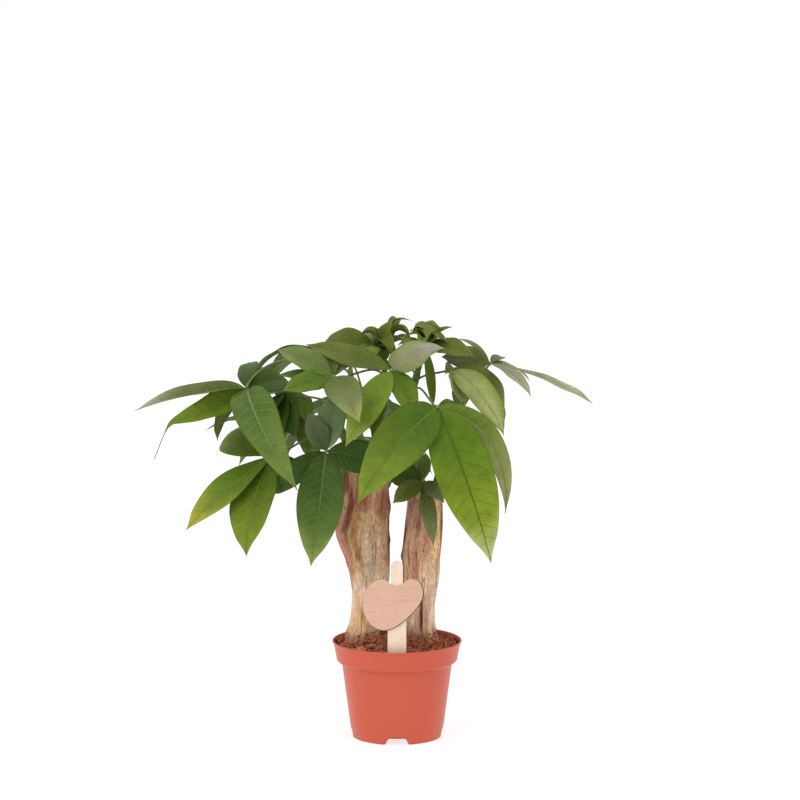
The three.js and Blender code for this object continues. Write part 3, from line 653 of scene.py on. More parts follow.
def bezier(p0, p1, p2, p3, t):
    """Points and directions of a cubic curve."""
    t = t[:, None]
    s = 1 - t
    points = s**3 * p0 + 3 * s**2 * t * p1 + 3 * s * t**2 * p2 + t**3 * p3
    directions = s**2 * (p1 - p0) + 2 * s * t * (p2 - p1) + t**2 * (p3 - p2)
    return points, directions / np.linalg.norm(directions, axis=1, keepdims=True)


def seed_of(name):
    """A number from a name, the same each run."""
    return sum((i + 1) * ord(letter) for i, letter in enumerate(name)) % 10007


def fractal(points, scale, octaves=3, seed=0.0):
    """Smooth noise between about -1 and 1 at each point, for shapes."""
    out = np.zeros(len(points))
    for i, point in enumerate(points):
        out[i] = noise.fractal(Vector(point) * scale + Vector((seed, seed, seed)), 1.0, 2.0, octaves)
    return out


# ---------------------------------------------------------------- meshes


class Shape:
    """Gathers patches of one piece: points, faces with their material, and values at the points."""

    def __init__(self):
        self.points, self.faces, self.slots, self.values, self.count = [], [], [], {}, 0

    def add(self, points, faces, slot=0, **values):
        """Adds a patch. Each value is one colour or vector for the patch, or one for each point."""
        points = np.asarray(points, float).reshape(-1, 3)
        self.points.append(points)
        self.faces += [[corner + self.count for corner in face] for face in faces]
        self.slots += [slot] * len(faces) if isinstance(slot, int) else list(slot)
        for name, value in values.items():
            value = np.broadcast_to(np.asarray(value, float), (len(points), np.shape(value)[-1]))
            self.values.setdefault(name, []).append((self.count, value))
        self.count += len(points)

    def build(self, name, materials, smooth=True):
        """The finished object, linked to the scene. Names that end in _colour become colours."""
        mesh = bpy.data.meshes.new(name)
        mesh.from_pydata(np.concatenate(self.points).tolist(), [], self.faces)
        for material in materials:
            mesh.materials.append(material)
        mesh.polygons.foreach_set("material_index", self.slots)
        mesh.polygons.foreach_set("use_smooth", [smooth] * len(self.faces))
        for key, patches in self.values.items():
            is_colour = key.endswith("_colour")
            width = 4 if is_colour else 3
            data = np.zeros((self.count, width))
            if is_colour:
                data[:, 3] = 1
            for start, value in patches:
                data[start : start + len(value), : value.shape[1]] = value
            attribute = mesh.attributes.new(key, "FLOAT_COLOR" if is_colour else "FLOAT_VECTOR", "POINT")
            attribute.data.foreach_set("color" if is_colour else "vector", data.ravel())
        mesh.update()
        mesh.validate()
        piece = bpy.data.objects.new(name, mesh)
        bpy.context.scene.collection.objects.link(piece)
        return piece


def grid_faces(rows, columns, wrap=False, flip=False, start=0):
    """Quads of a grid of points, rows by columns, closed round the columns if wrap."""
    faces = []
    for row in range(rows - 1):
        for column in range(columns if wrap else columns - 1):
            a = start + row * columns + column
            b = start + row * columns + (column + 1) % columns
            quad = [a, b, b + columns, a + columns]
            faces.append(quad[::-1] if flip else quad)
    return faces


def last_ring(rings, sides):
    """The face that closes the last of so many rings."""
    return [(rings - 1) * sides + side for side in range(sides)]


def for_rings(value, rings, sides):
    """One value, or one for each ring, spread to every point of the rings."""
    value = np.asarray(value, float)
    return np.repeat(np.broadcast_to(value, (rings, value.shape[-1])), sides, axis=0)


def tube(shape, points, radii, sides, slot=0, **values):
    """Adds a round rod along points, closed at both ends. values may have one entry for each ring."""
    points = np.asarray(points, float)
    directions = np.gradient(points, axis=0)
    directions /= np.linalg.norm(directions, axis=1, keepdims=True)
    normal = unit(np.cross(directions[0], (0.31, 0.87, 0.38)))
    turns = np.linspace(0, TAU, sides, endpoint=False)
    rings = []
    for point, direction, radius in zip(points, directions, np.broadcast_to(radii, len(points))):
        normal = unit(normal - direction * np.dot(normal, direction))
        across = np.cross(direction, normal)
        ring = np.outer(np.cos(turns), normal) + np.outer(np.sin(turns), across)
        rings.append(point + radius * ring)
    faces = grid_faces(len(points), sides, wrap=True)
    faces += [list(range(sides))[::-1], last_ring(len(points), sides)]
    spread = {key: for_rings(value, len(points), sides) for key, value in values.items()}
    shape.add(np.concatenate(rings), faces, slot, **spread)


def finish_piece(piece, slot, *nodes):
    """The piece rides with the plant and stands for its solids, which it hides. slot: not used."""
    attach(piece, "root")
    if nodes:
        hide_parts(*nodes)
    return piece


# ---------------------------------------------------------------- materials


class Nodes:
    """Short calls on a node tree. Each adds a node and returns its output."""

    def __init__(self, tree):
        self.tree = tree

    def add(self, kind, inputs=(), **settings):
        node = self.tree.nodes.new(kind)
        for key, value in settings.items():
            setattr(node, key, value)
        for key, value in dict(inputs).items():
            self.set(node.inputs[key], value)
        return node

    def set(self, socket, value):
        if isinstance(value, bpy.types.NodeSocket):
            self.tree.links.new(value, socket)
        elif socket.type == "RGBA" and len(value) == 3:
            socket.default_value = (*value, 1)
        else:
            socket.default_value = value

    def math(self, operation, a, b=0.0, clamp=False):
        return self.add("ShaderNodeMath", {0: a, 1: b}, operation=operation, use_clamp=clamp).outputs[0]

    def times(self, a, b):
        return self.math("MULTIPLY", a, b)

    def plus(self, a, b, clamp=False):
        return self.math("ADD", a, b, clamp)

    def minus(self, a, b):
        return self.math("SUBTRACT", a, b)

    def scale(self, vector, factor):
        inputs = {0: vector, "Scale": factor}
        return self.add("ShaderNodeVectorMath", inputs, operation="SCALE").outputs[0]

    def parts(self, vector):
        return self.add("ShaderNodeSeparateXYZ", {0: vector}).outputs

    def step(self, value, low, high, start=0.0, end=1.0):
        inputs = {"Value": value, "From Min": low, "From Max": high, "To Min": start, "To Max": end}
        return self.add("ShaderNodeMapRange", inputs, interpolation_type="SMOOTHSTEP").outputs[0]

    def mix(self, factor, a, b, blend="MIX"):
        node = self.add("ShaderNodeMix", data_type="RGBA", blend_type=blend)
        for index, value in ((0, factor), (6, a), (7, b)):
            self.set(node.inputs[index], value)
        return node.outputs[2]

    def noise(self, vector, scale, detail=3.0, roughness=0.5, distortion=0.0):
        inputs = {"Vector": vector, "Scale": scale, "Detail": detail}
        inputs |= {"Roughness": roughness, "Distortion": distortion}
        return self.add("ShaderNodeTexNoise", inputs).outputs["Fac"]

    def ramp(self, factor, stops):
        node = self.add("ShaderNodeValToRGB", {"Fac": factor})
        while len(node.color_ramp.elements) < len(stops):
            node.color_ramp.elements.new(0.5)
        for element, (place, value) in zip(node.color_ramp.elements, stops):
            element.position = place
            element.color = (*value, 1)
        return node.outputs[0]

    def stretch(self, vector, x, y, z):
        inputs = {0: vector, 1: (x, y, z)}
        return self.add("ShaderNodeVectorMath", inputs, operation="MULTIPLY").outputs[0]

    def place(self):
        return self.add("ShaderNodeTexCoord").outputs["Object"]

    def colour(self, name):
        return self.add("ShaderNodeAttribute", attribute_name=name).outputs["Color"]

    def vector(self, name):
        return self.add("ShaderNodeAttribute", attribute_name=name).outputs["Vector"]

    def group(self, tree, **inputs):
        node = self.add("ShaderNodeGroup", node_tree=tree)
        for key, value in inputs.items():
            self.set(node.inputs[key.replace("_", " ")], value)
        return node.outputs

    def bump(self, height, distance, strength=1.0):
        inputs = {"Height": height, "Distance": distance, "Strength": strength}
        return self.add("ShaderNodeBump", inputs).outputs[0]


def new_group(name, inputs, outputs):
    """An empty shader group. inputs: (name, kind, default); outputs: (name, kind)."""
    tree = bpy.data.node_groups.new(name, "ShaderNodeTree")
    for key, kind, default in inputs:
        socket = tree.interface.new_socket(key, in_out="INPUT", socket_type=f"NodeSocket{kind}")
        if default is not None:
            socket.default_value = default
    for key, kind in outputs:
        tree.interface.new_socket(key, in_out="OUTPUT", socket_type=f"NodeSocket{kind}")
    nodes = Nodes(tree)
    return tree, nodes, nodes.add("NodeGroupInput").outputs, nodes.add("NodeGroupOutput").inputs


def mottle_group():
    """Soft patches and fine specks of one colour shifted towards lighter and darker."""
    if "mottle" in bpy.data.node_groups:
        return bpy.data.node_groups["mottle"]
    tree, nodes, given, result = new_group(
        "mottle",
        [
            ("Colour", "Color", (0.5, 0.5, 0.5, 1)),
            ("Place", "Vector", None),
            ("Patch Scale", "Float", 60.0),
            ("Speck Scale", "Float", 900.0),
            ("Amount", "Float", 0.2),
        ],
        [("Colour", "Color"), ("Patches", "Float"), ("Specks", "Float")],
    )
    patches = nodes.noise(given["Place"], given["Patch Scale"], 4.0, 0.55)
    specks = nodes.noise(given["Place"], given["Speck Scale"], 2.0, 0.6)
    both = nodes.plus(nodes.times(patches, 0.65), nodes.times(specks, 0.35))
    around = nodes.minus(both, 0.5)
    gain = nodes.plus(nodes.times(nodes.times(around, given["Amount"]), 4.0), 1.0)
    nodes.set(result["Colour"], nodes.scale(given["Colour"], gain))
    nodes.set(result["Patches"], patches)
    nodes.set(result["Specks"], specks)
    return tree


def veins_group():
    """Midrib, side veins and fine net of a leaflet, from its blade coordinates.

    Blade holds the way across over the leaflet's length, the share of the way along, and the way
    across over the half width.
    """
    if "leaf veins" in bpy.data.node_groups:
        return bpy.data.node_groups["leaf veins"]
    tree, nodes, given, result = new_group(
        "leaf veins",
        [
            ("Blade", "Vector", None),
            ("Pairs", "Float", 13.0),
            ("Side Width", "Float", 0.2),
            ("Rib Width", "Float", 0.011),
        ],
        [("Rib", "Float"), ("Sides", "Float"), ("Net", "Float"), ("Height", "Float")],
    )
    parts = nodes.parts(given["Blade"])
    across = nodes.math("ABSOLUTE", parts[0])
    square = nodes.times(across, across)
    slant = nodes.times(across, SIDE_SLANT)
    bent = nodes.plus(slant, nodes.times(square, SIDE_CURVE))
    wobble = nodes.times(nodes.minus(nodes.noise(given["Blade"], 9.0, 1.0), 0.5), 0.016)
    along = nodes.plus(nodes.minus(parts[1], bent), wobble)
    half_step = nodes.times(nodes.math("LESS_THAN", parts[0], 0.0), 0.5)
    phase = nodes.plus(nodes.times(along, given["Pairs"]), half_step)
    away = nodes.times(nodes.math("PINGPONG", phase, 0.5), 2.0)
    line = nodes.minus(1.0, nodes.step(away, 0.0, given["Side Width"]))
    edge = nodes.minus(1.0, nodes.step(nodes.math("ABSOLUTE", parts[2]), 0.72, 0.98))
    sides = nodes.times(nodes.times(line, edge), nodes.step(parts[1], 0.97, 0.8))
    taper = nodes.times(given["Rib Width"], nodes.minus(1.15, parts[1]))
    rib = nodes.minus(1.0, nodes.step(nodes.math("DIVIDE", across, taper), 0.35, 1.0))
    inputs = {"Vector": given["Blade"], "Scale": 55.0}
    cells = nodes.add("ShaderNodeTexVoronoi", inputs, feature="DISTANCE_TO_EDGE")
    net = nodes.minus(1.0, nodes.step(cells.outputs["Distance"], 0.0, 0.16))
    bulge = nodes.times(nodes.math("SQRT", away), 0.5)
    height = nodes.minus(bulge, nodes.times(rib, 0.6))
    height = nodes.minus(height, nodes.times(net, 0.06))
    for key, value in (("Rib", rib), ("Sides", sides), ("Net", net), ("Height", height)):
        nodes.set(result[key], value)
    return tree


def grain_group():
    """Wood grain along one axis: soft bands, fine streaks and short pores."""
    if "wood grain" in bpy.data.node_groups:
        return bpy.data.node_groups["wood grain"]
    tree, nodes, given, result = new_group(
        "wood grain",
        [
            ("Light", "Color", (0.8, 0.7, 0.6, 1)),
            ("Dark", "Color", (0.5, 0.4, 0.3, 1)),
            ("Place", "Vector", None),
            ("Streak Scale", "Float", 1.0),
            ("Contrast", "Float", 0.5),
        ],
        [("Colour", "Color"), ("Height", "Float")],
    )
    scaled = nodes.scale(given["Place"], given["Streak Scale"])
    bands = nodes.noise(scaled, 120.0, 2.0, 0.5, 0.6)
    streaks = nodes.noise(scaled, 900.0, 3.0, 0.7)
    pores = nodes.step(nodes.noise(scaled, 1900.0, 1.0), 0.62, 0.72)
    both = nodes.plus(nodes.times(bands, 0.55), nodes.times(streaks, 0.45))
    share_of_dark = nodes.times(nodes.step(both, 0.4, 0.66), given["Contrast"])
    share_of_dark = nodes.plus(share_of_dark, nodes.times(pores, 0.22), clamp=True)
    nodes.set(result["Colour"], nodes.mix(share_of_dark, given["Light"], given["Dark"]))
    nodes.set(result["Height"], nodes.minus(streaks, nodes.times(pores, 0.5)))
    return tree


def new_material(name, **constants):
    """A material with only a Principled shader, its constants set on the shader's own sockets."""
    material = bpy.data.materials.new(name)
    material.use_nodes = True
    nodes = Nodes(material.node_tree)
    shader = next(node for node in material.node_tree.nodes if node.type == "BSDF_PRINCIPLED")
    for key, value in constants.items():
        shader.inputs[key.replace("_", " ")].default_value = value
    return material, nodes, shader.inputs


def mottle(nodes, own, place, patch_scale, speck_scale, amount):
    """Places the mottle group in a material."""
    sizes = {"Patch_Scale": patch_scale, "Speck_Scale": speck_scale}
    return nodes.group(mottle_group(), Colour=own, Place=place, Amount=amount, **sizes)


# Linear colours of small marks, which no setting holds.
SOIL_DUST = (0.2, 0.06, 0.03)
# Painted shade with soil smears, for the pot's inner wall.
INNER_SHADE_AND_SMEAR = (0.075, 0.024, 0.012)
SAWN_LIGHT = (0.48, 0.33, 0.2)
SAWN_DARK = (0.2, 0.12, 0.07)
SAWN_RING = (0.16, 0.09, 0.05)
STEM_PORE = (0.36, 0.32, 0.16)
UNDERSIDE = (0.2, 0.24, 0.08)
UNDERSIDE_VEIN = (0.46, 0.48, 0.2)
UNDERSIDE_RIB = (0.5, 0.42, 0.2)

# What the fine streaks of the bark multiply its colour by, from the darkest streak to the palest.
BARK_STREAKS = [
    (0.36, (0.48, 0.3, 0.22)),
    (0.44, (0.88, 0.77, 0.7)),
    (0.5, (1.04, 1, 0.97)),
    (0.62, (1.34, 1.27, 1.2)),
]


def plastic_material(settings):
    """Satin moulded plastic: even colour, faint flow marks, a little dust of soil near the lip, and painted
    shade with soil smears on the inner wall below the lip.
    """
    material, nodes, shader = new_material("terracotta plastic", IOR=1.47)
    place = nodes.place()
    tone = mottle(nodes, tuple(settings.plastic), place, 22.0, 700.0, 0.05)
    flow = nodes.noise(nodes.stretch(place, 1, 1, 0.12), 260.0, 3.0)
    near_lip = nodes.step(nodes.parts(place)[2], 79 * MM, 89.5 * MM)
    dust = nodes.times(nodes.step(nodes.noise(place, 420.0, 5.0, 0.7), 0.6, 0.72), near_lip)
    dusty = nodes.mix(nodes.times(dust, 0.3), tone["Colour"], SOIL_DUST)
    # Painted shade with soil smears: the inner wall below the lip is mixed more than half way to a near
    # black brown, further where the smears lie.
    smears = nodes.step(nodes.noise(place, 300.0, 4.0, 0.7), 0.3, 0.5)
    soiled = nodes.parts(nodes.vector("soiled"))[0]
    inner_shade_and_dirt = nodes.times(soiled, nodes.plus(nodes.times(smears, 0.4), 0.55))
    nodes.set(shader["Base Color"], nodes.mix(inner_shade_and_dirt, dusty, INNER_SHADE_AND_SMEAR))
    rough = nodes.plus(0.33, nodes.times(tone["Patches"], 0.12))
    nodes.set(shader["Roughness"], nodes.plus(rough, nodes.times(dust, 0.3)))
    relief = nodes.plus(nodes.times(flow, 0.5), nodes.times(tone["Specks"], 0.2))
    nodes.set(shader["Normal"], nodes.bump(relief, 0.12 * MM, 0.5))
    return material


def soil_material():
    """Peat and husk: each crumb has its own colour, with fine dark pits."""
    material, nodes, shader = new_material("peat and husk", Roughness=0.95, Specular_IOR_Level=0.2)
    tone = mottle(nodes, nodes.colour("crumb_colour"), nodes.place(), 320.0, 1600.0, 0.45)
    nodes.set(shader["Base Color"], tone["Colour"])
    nodes.set(shader["Normal"], nodes.bump(tone["Specks"], 0.6 * MM))
    return material


def bark_material(settings):
    """Thin flaky bark: fine upright streaks from cream to red brown, dark cracks and rosy scrapes."""
    material, nodes, shader = new_material("streaked bark", Specular_IOR_Level=0.15)
    place = nodes.place()
    tone = mottle(nodes, nodes.colour("bark_colour"), place, 170.0, 1300.0, 0.22)
    fine = nodes.noise(nodes.stretch(place, 1, 1, 0.24), 760.0, 5.0, 0.8, 0.5)
    strength = nodes.step(nodes.parts(place)[2], 105 * MM, 165 * MM, 0.4, 0.95)
    streaked = nodes.mix(strength, tone["Colour"], nodes.ramp(fine, BARK_STREAKS), "MULTIPLY")
    upright = nodes.noise(nodes.stretch(place, 1, 1, 0.09), 380.0, 4.0, 0.6, 0.9)
    cracks = nodes.step(upright, 0.6, 0.68)
    depth = nodes.times(cracks, nodes.times(strength, 0.7))
    cracked = nodes.mix(depth, streaked, tuple(settings.fissure))
    scrapes = nodes.step(nodes.noise(nodes.stretch(place, 1, 1, 0.45), 210.0, 4.0, 0.7), 0.6, 0.7)
    rosy = nodes.mix(nodes.times(scrapes, 0.3), cracked, tuple(settings.mauve))
    nodes.set(shader["Base Color"], rosy)
    nodes.set(shader["Roughness"], nodes.plus(0.72, nodes.times(tone["Patches"], 0.25)))
    relief = nodes.minus(nodes.times(fine, 1.4), nodes.times(cracks, 0.7))
    nodes.set(shader["Normal"], nodes.bump(relief, 1.2 * MM))
    return material


def sawn_material():
    """The dry sawn tops: pale end grain with faint rings and small checks."""
    material, nodes, shader = new_material("sawn wood", Roughness=0.85, Specular_IOR_Level=0.2)
    colours = {"Light": SAWN_LIGHT, "Dark": SAWN_DARK}
    place = nodes.place()
    grain = nodes.group(grain_group(), **colours, Place=place, Streak_Scale=0.6, Contrast=0.7)
    from_pith = nodes.add("ShaderNodeVectorMath", {0: nodes.vector("sawn")}, operation="LENGTH")
    rings = nodes.math("SINE", nodes.times(from_pith.outputs["Value"], 60.0))
    dark_rings = nodes.times(nodes.step(rings, 0.2, 1.0), 0.35)
    nodes.set(shader["Base Color"], nodes.mix(dark_rings, grain["Colour"], SAWN_RING))
    relief = nodes.plus(grain["Height"], nodes.times(rings, 0.2))
    nodes.set(shader["Normal"], nodes.bump(relief, 0.5 * MM))
    return material


def stem_material(name, attribute, roughness):
    """Smooth green skin with faint streaks along the stem and pale pores."""
    material, nodes, shader = new_material(name, Roughness=roughness, IOR=1.45)
    place = nodes.place()
    tone = mottle(nodes, nodes.colour(attribute), place, 110.0, 900.0, 0.25)
    pores = nodes.step(nodes.noise(nodes.stretch(place, 1, 1, 0.5), 800.0, 1.0), 0.66, 0.74)
    nodes.set(shader["Base Color"], nodes.mix(nodes.times(pores, 0.3), tone["Colour"], STEM_PORE))
    streaks = nodes.noise(nodes.stretch(place, 1, 1, 0.15), 900.0, 2.0)
    nodes.set(shader["Normal"], nodes.bump(streaks, 0.3 * MM))
    return material


def upper_material(settings):
    """Waxy upper side of the blades."""
    material, nodes, shader = new_material("leaf upper side", IOR=1.45, Specular_IOR_Level=0.2)
    blade = nodes.vector("blade")
    veins = nodes.group(veins_group(), Blade=blade, Pairs=float(settings.vein_pairs))
    tone = mottle(nodes, nodes.colour("leaf_colour"), nodes.place(), 70.0, 520.0, 0.34)
    vein_colour = nodes.colour("vein_colour")
    flesh = nodes.mix(nodes.times(veins["Net"], 0.12), tone["Colour"], vein_colour)
    sides = nodes.mix(nodes.times(veins["Sides"], 0.4), flesh, vein_colour)
    ribbed = nodes.mix(nodes.times(veins["Rib"], 0.8), sides, vein_colour)
    nodes.set(shader["Base Color"], ribbed)
    nodes.set(shader["Roughness"], nodes.plus(0.3, nodes.times(tone["Patches"], 0.2)))
    nodes.set(shader["Normal"], nodes.bump(veins["Height"], 1.1 * MM, 0.9))
    return material


def under_material(settings):
    """Paler, duller underside of the blades, where the veins stand out."""
    dull = {"Roughness": 0.6, "Specular_IOR_Level": 0.2}
    material, nodes, shader = new_material("leaf underside", IOR=1.4, **dull)
    widths = {"Side_Width": 0.2, "Rib_Width": 0.015}
    pairs = float(settings.vein_pairs)
    veins = nodes.group(veins_group(), Blade=nodes.vector("blade"), Pairs=pairs, **widths)
    paler = nodes.mix(0.28, nodes.colour("leaf_colour"), UNDERSIDE)
    tone = mottle(nodes, paler, nodes.place(), 60.0, 500.0, 0.12)
    sides = nodes.mix(nodes.times(veins["Sides"], 0.35), tone["Colour"], UNDERSIDE_VEIN)
    nodes.set(shader["Base Color"], nodes.mix(nodes.times(veins["Rib"], 0.85), sides, UNDERSIDE_RIB))
    raised = nodes.plus(nodes.times(veins["Sides"], 0.4), veins["Rib"])
    nodes.set(shader["Normal"], nodes.bump(raised, 0.6 * MM))
    return material


def wood_material(name, light, across, contrast):
    """Thin bare wood. across: the share by which the grain is drawn out along each axis."""
    material, nodes, shader = new_material(name, Specular_IOR_Level=0.3)
    dark = tuple(channel * 0.62 for channel in light)
    place = nodes.stretch(nodes.place(), *across)
    grain = nodes.group(grain_group(), Light=light, Dark=dark, Place=place, Contrast=contrast)
    nodes.set(shader["Base Color"], grain["Colour"])
    nodes.set(shader["Roughness"], nodes.plus(0.6, nodes.times(grain["Height"], 0.2)))
    nodes.set(shader["Normal"], nodes.bump(grain["Height"], 0.25 * MM))
    return material


def charred_material(settings):
    """The plate's burnt edge, dark only at the lower right, where the edge is seen."""
    material, nodes, shader = new_material("charred edge", Roughness=0.9)
    tone = mottle(nodes, tuple(settings.charred), nodes.place(), 200.0, 1500.0, 0.5)
    x, _, z = nodes.parts(nodes.place())
    over_middle = nodes.minus(z, 130 * MM)
    low_right = nodes.step(nodes.minus(x, over_middle), -16 * MM, 4 * MM)
    nodes.set(shader["Base Color"], nodes.mix(low_right, tuple(settings.pink), tone["Colour"]))
    return material


# ---------------------------------------------------------------- pot


def notch_rise(settings, turns):
    """How far the foot is cut away at each turn round the pot, by the four drain notches."""
    quarter = math.pi / 2
    from_middle = np.abs((turns + quarter / 2) % quarter - quarter / 2) * settings.base_radius
    half, half_top = settings.notch_width / 2, settings.notch_top_width / 2
    return settings.notch_height * smoothstep(from_middle, half, half_top)


# How many rings of the section lie on the inside, under the lip.
INNER_RINGS = 14


def pot_profile(settings, top, lip):
    """The pot's section from the middle of its underside round to the middle of its floor.

    Each point is its radius, its height and how much of the notches' rise it takes.
    """
    edge, foot, notch_fade = 0.6 * MM, 3 * MM, 9 * MM
    base, wall, floor = settings.base_radius, settings.wall, settings.floor_height
    boss, neck, band_foot = settings.boss_radius, settings.neck_radius, settings.band_foot_radius
    band = top - settings.rim_depth
    shoulder = band - settings.shoulder
    lean = (neck - base) / (shoulder - 2 * edge)
    underside = [
        (0, 0, 0),
        (boss - edge, 0, 0),
        (boss, edge / 2, 0),
        (boss + foot, floor - edge, 0),
        (boss + foot + edge, floor, 0),
        (base - foot - edge, floor, 0),
        (base - foot, floor - edge, 0.15),
    ]
    foot_ring = [
        (base - foot, 2 * edge, 0.9),
        (base - foot + edge / 2, 0, 1),
        (base - 2 * edge, 0, 1),
        (base - edge, edge / 3, 1),
        (base - edge / 3, edge, 1),
        (base, 2 * edge, 0.95),
    ]
    outside = []
    for height in np.linspace(4 * edge, shoulder - edge, 14):
        notched = 0.9 * max(0, 1 - height / notch_fade)
        outside.append((base + lean * (height - 2 * edge), height, notched))
    for t in np.linspace(0, 1, 7):
        ease = mix(t, t * t * (3 - 2 * t), 0.5)
        height = mix(shoulder, band - 0.8 * MM, t)
        outside.append((mix(neck, band_foot - 0.3 * MM, ease), height, 0))
    outside += [
        (band_foot + 0.05 * MM, band - 0.3 * MM, 0),
        (band_foot + 0.25 * MM, band + 0.4 * MM, 0),
        (band_foot + 0.2 * MM, band + 1.4 * MM, 0),
    ]
    for t in np.linspace(0.15, 1, 6):
        height = mix(band + 1.4 * MM, top - 4 * edge, t)
        outside.append((mix(band_foot + 0.2 * MM, lip - 2 * edge, t), height, 0))
    rounded_lip = [
        (lip - edge, top - 3 * edge, 0),
        (lip - edge / 4, top - 2.4 * edge, 0),
        (lip, top - 1.6 * edge, 0),
        (lip - edge / 3, top - edge / 3, 0),
        (lip - edge, top, 0),
        (lip - wall + edge / 3, top - edge / 6, 0),
    ]
    inside = []
    for t in np.linspace(0, 1, INNER_RINGS - 3):
        inside.append((mix(lip, band_foot, t) - wall, mix(top - edge, band, t), 0))
    inside += [
        (neck - wall, shoulder, 0),
        (base - wall + 4 * lean * MM, floor + wall + 3 * MM, 0),
        (base - wall - 2 * MM, floor + wall, 0),
        (0, floor + wall, 0),
    ]
    return underside + foot_ring + outside + rounded_lip + inside


def make_pot(settings):
    lip, _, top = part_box("pot")[1]
    profile = pot_profile(settings, top, lip)
    sides = settings.sides
    turns = np.linspace(0, TAU, sides, endpoint=False)
    rise = notch_rise(settings, turns)
    rings = []
    for radius, height, takes in profile[1:-1]:
        ring = (radius * np.cos(turns), radius * np.sin(turns), height + rise * takes)
        rings.append(np.stack(ring, -1))
    faces = grid_faces(len(rings), sides, wrap=True)
    under = len(rings) * sides
    inner_ring = last_ring(len(rings), sides)
    for i in range(sides):
        after = (i + 1) % sides
        faces += [[under, after, i], [under + 1, inner_ring[i], inner_ring[after]]]
    ends = [(0, 0, profile[0][1]), (0, 0, profile[-1][1])]
    points = np.concatenate([*rings, ends])
    # soiled marks the inner wall for painted shade with soil smears: none 1.2 mm under the lip, full from 5
    # mm under it.
    inner = np.arange(len(points)) >= (len(rings) - INNER_RINGS) * sides
    level = smoothstep(points[:, 2], top - 1.2 * MM, top - 5 * MM)
    shape = Shape()
    shape.add(points, faces, soiled=np.column_stack([inner * level, inner, level]))
    piece = shape.build("pot_moulded", [plastic_material(settings)])
    finish_piece(piece, "pot", "pot")


# ---------------------------------------------------------------- soil


def soil_top(settings, x, y):
    """Height of the soil under its crumbs."""
    out = np.clip(np.hypot(x, y) / settings.mound_radius, 0, 1)
    return settings.edge_height + settings.mound_height * np.cos(math.pi / 2 * out) - 1.2 * MM


def crumb_mesh(subdivisions):
    """Points and faces of a round crumb, before it is bent out of shape."""
    ball = bmesh.new()
    bmesh.ops.create_icosphere(ball, subdivisions=subdivisions, radius=1)
    points = np.array([vertex.co[:] for vertex in ball.verts])
    faces = [[vertex.index for vertex in face.verts] for face in ball.faces]
    ball.free()
    return points, faces


def trunk_ovals():
    """Middle and half sizes of each trunk where it comes out of the soil."""
    ovals = []
    for spec in TRUNKS.values():
        _, x, y, half_width, half_depth = (value * MM for value in spec["sections"][2])
        ovals.append((x, y, half_width, half_depth))
    return ovals


def clear_spot(rng, radius):
    """A random place on the soil that isn't inside a trunk or in front of the stake."""
    ovals = trunk_ovals()
    while True:
        x, y = rng.uniform(-radius, radius, 2)
        before_stake = abs(x) < 10 * MM and y < -45 * MM
        if math.hypot(x, y) > radius or before_stake:
            continue
        # A crumb's middle may lie a little way inside the bark.
        away = (((x - cx) / rx) ** 2 + ((y - cy) / ry) ** 2 for cx, cy, rx, ry in ovals)
        if min(away) > 0.86:
            return x, y


def foot_spots(rng, spec, crumbs):
    """Places on a trunk's foot where crumbs cling, with their height over the soil, thinner upwards."""
    level, x, y, half_width, half_depth = (value * MM for value in spec["sections"][2])
    lobes, lobe_turn, lobe_depth = spec["flare"]
    spread = (FLARE_TOP - level) / (FLARE_TOP - spec["sections"][0][0] * MM)
    spots = []
    for turn in rng.uniform(0, TAU, crumbs):
        share_out = 1 + lobe_depth * spread * math.cos(lobes * (turn + lobe_turn))
        place = x + half_width * share_out * math.cos(turn), y + half_depth * share_out * math.sin(turn)
        spots.append((*place, 9 * MM * rng.uniform() ** 2.6))
    return spots


# How far in from the pot's wall roots and fibres end.
WALL_GAP = 2 * MM


def add_soil_body(shape, low, high, radius, settings):
    """The closed body of the soil, with a lumpy top."""
    sides, rings = 96, 26
    turns = np.linspace(0, TAU, sides, endpoint=False)
    levels = [
        (low[2], 0.7),
        (low[2] + 1 * MM, 0.72),
        (mix(low[2], high[2], 0.69), 0.86),
        (mix(low[2], high[2], 0.79), 0.945),
    ]
    grid = []
    for height, part in levels:
        ring = (radius * part * np.cos(turns), radius * part * np.sin(turns), np.full(sides, height))
        grid.append(np.stack(ring, -1))
    for ring in range(rings):
        out = (radius - 1 * MM) * (1 - ring / rings)
        x, y = out * np.cos(turns), out * np.sin(turns)
        grid.append(np.stack([x, y, soil_top(settings, x, y)], -1))
    grid = np.concatenate(grid)
    on_top = np.arange(len(grid)) >= len(levels) * sides
    grid[on_top, 2] += 0.9 * MM * fractal(grid[on_top], 260, 3)
    faces = grid_faces(len(levels) + rings, sides, wrap=True)
    faces += [list(range(sides))[::-1], last_ring(len(levels) + rings, sides)]
    shape.add(grid, faces, crumb_colour=np.array(settings.peat) * 0.7)


def add_crumb(shape, spot, kinds, settings, rng):
    """One crumb: a lumpy, flattened ball, turned at random and sunk a little into the soil."""
    x, y, climb = spot
    peat, husk = np.array(settings.peat), np.array(settings.husk)
    size = settings.crumb_size * math.exp(rng.normal(0, 0.45)) * (0.7 if climb else 1)
    large = size > 1.3 * settings.crumb_size
    points, faces = kinds[1 if large else 0]
    lumps = 1 + 0.28 * np.sin(points @ rng.normal(0, 3.2, 3) + rng.uniform(0, TAU))
    flatness = rng.uniform((0.7, 0.5, 0.35), (1.5, 1.0, 0.9))
    turn = np.linalg.qr(rng.normal(size=(3, 3)))[0]
    placed = (points * lumps[:, None] * flatness * size) @ turn
    height = soil_top(settings, x, y) + climb + rng.uniform(0.1, 1.0) * size
    tint = mix(peat, husk, rng.beta(1.3, 2.2)) * rng.uniform(0.75, 1.15) * (1.3 if climb else 1)
    mirrored = np.linalg.det(turn) < 0
    if mirrored:
        faces = [face[::-1] for face in faces]
    shape.add(placed + (x, y, height), faces, crumb_colour=tint)


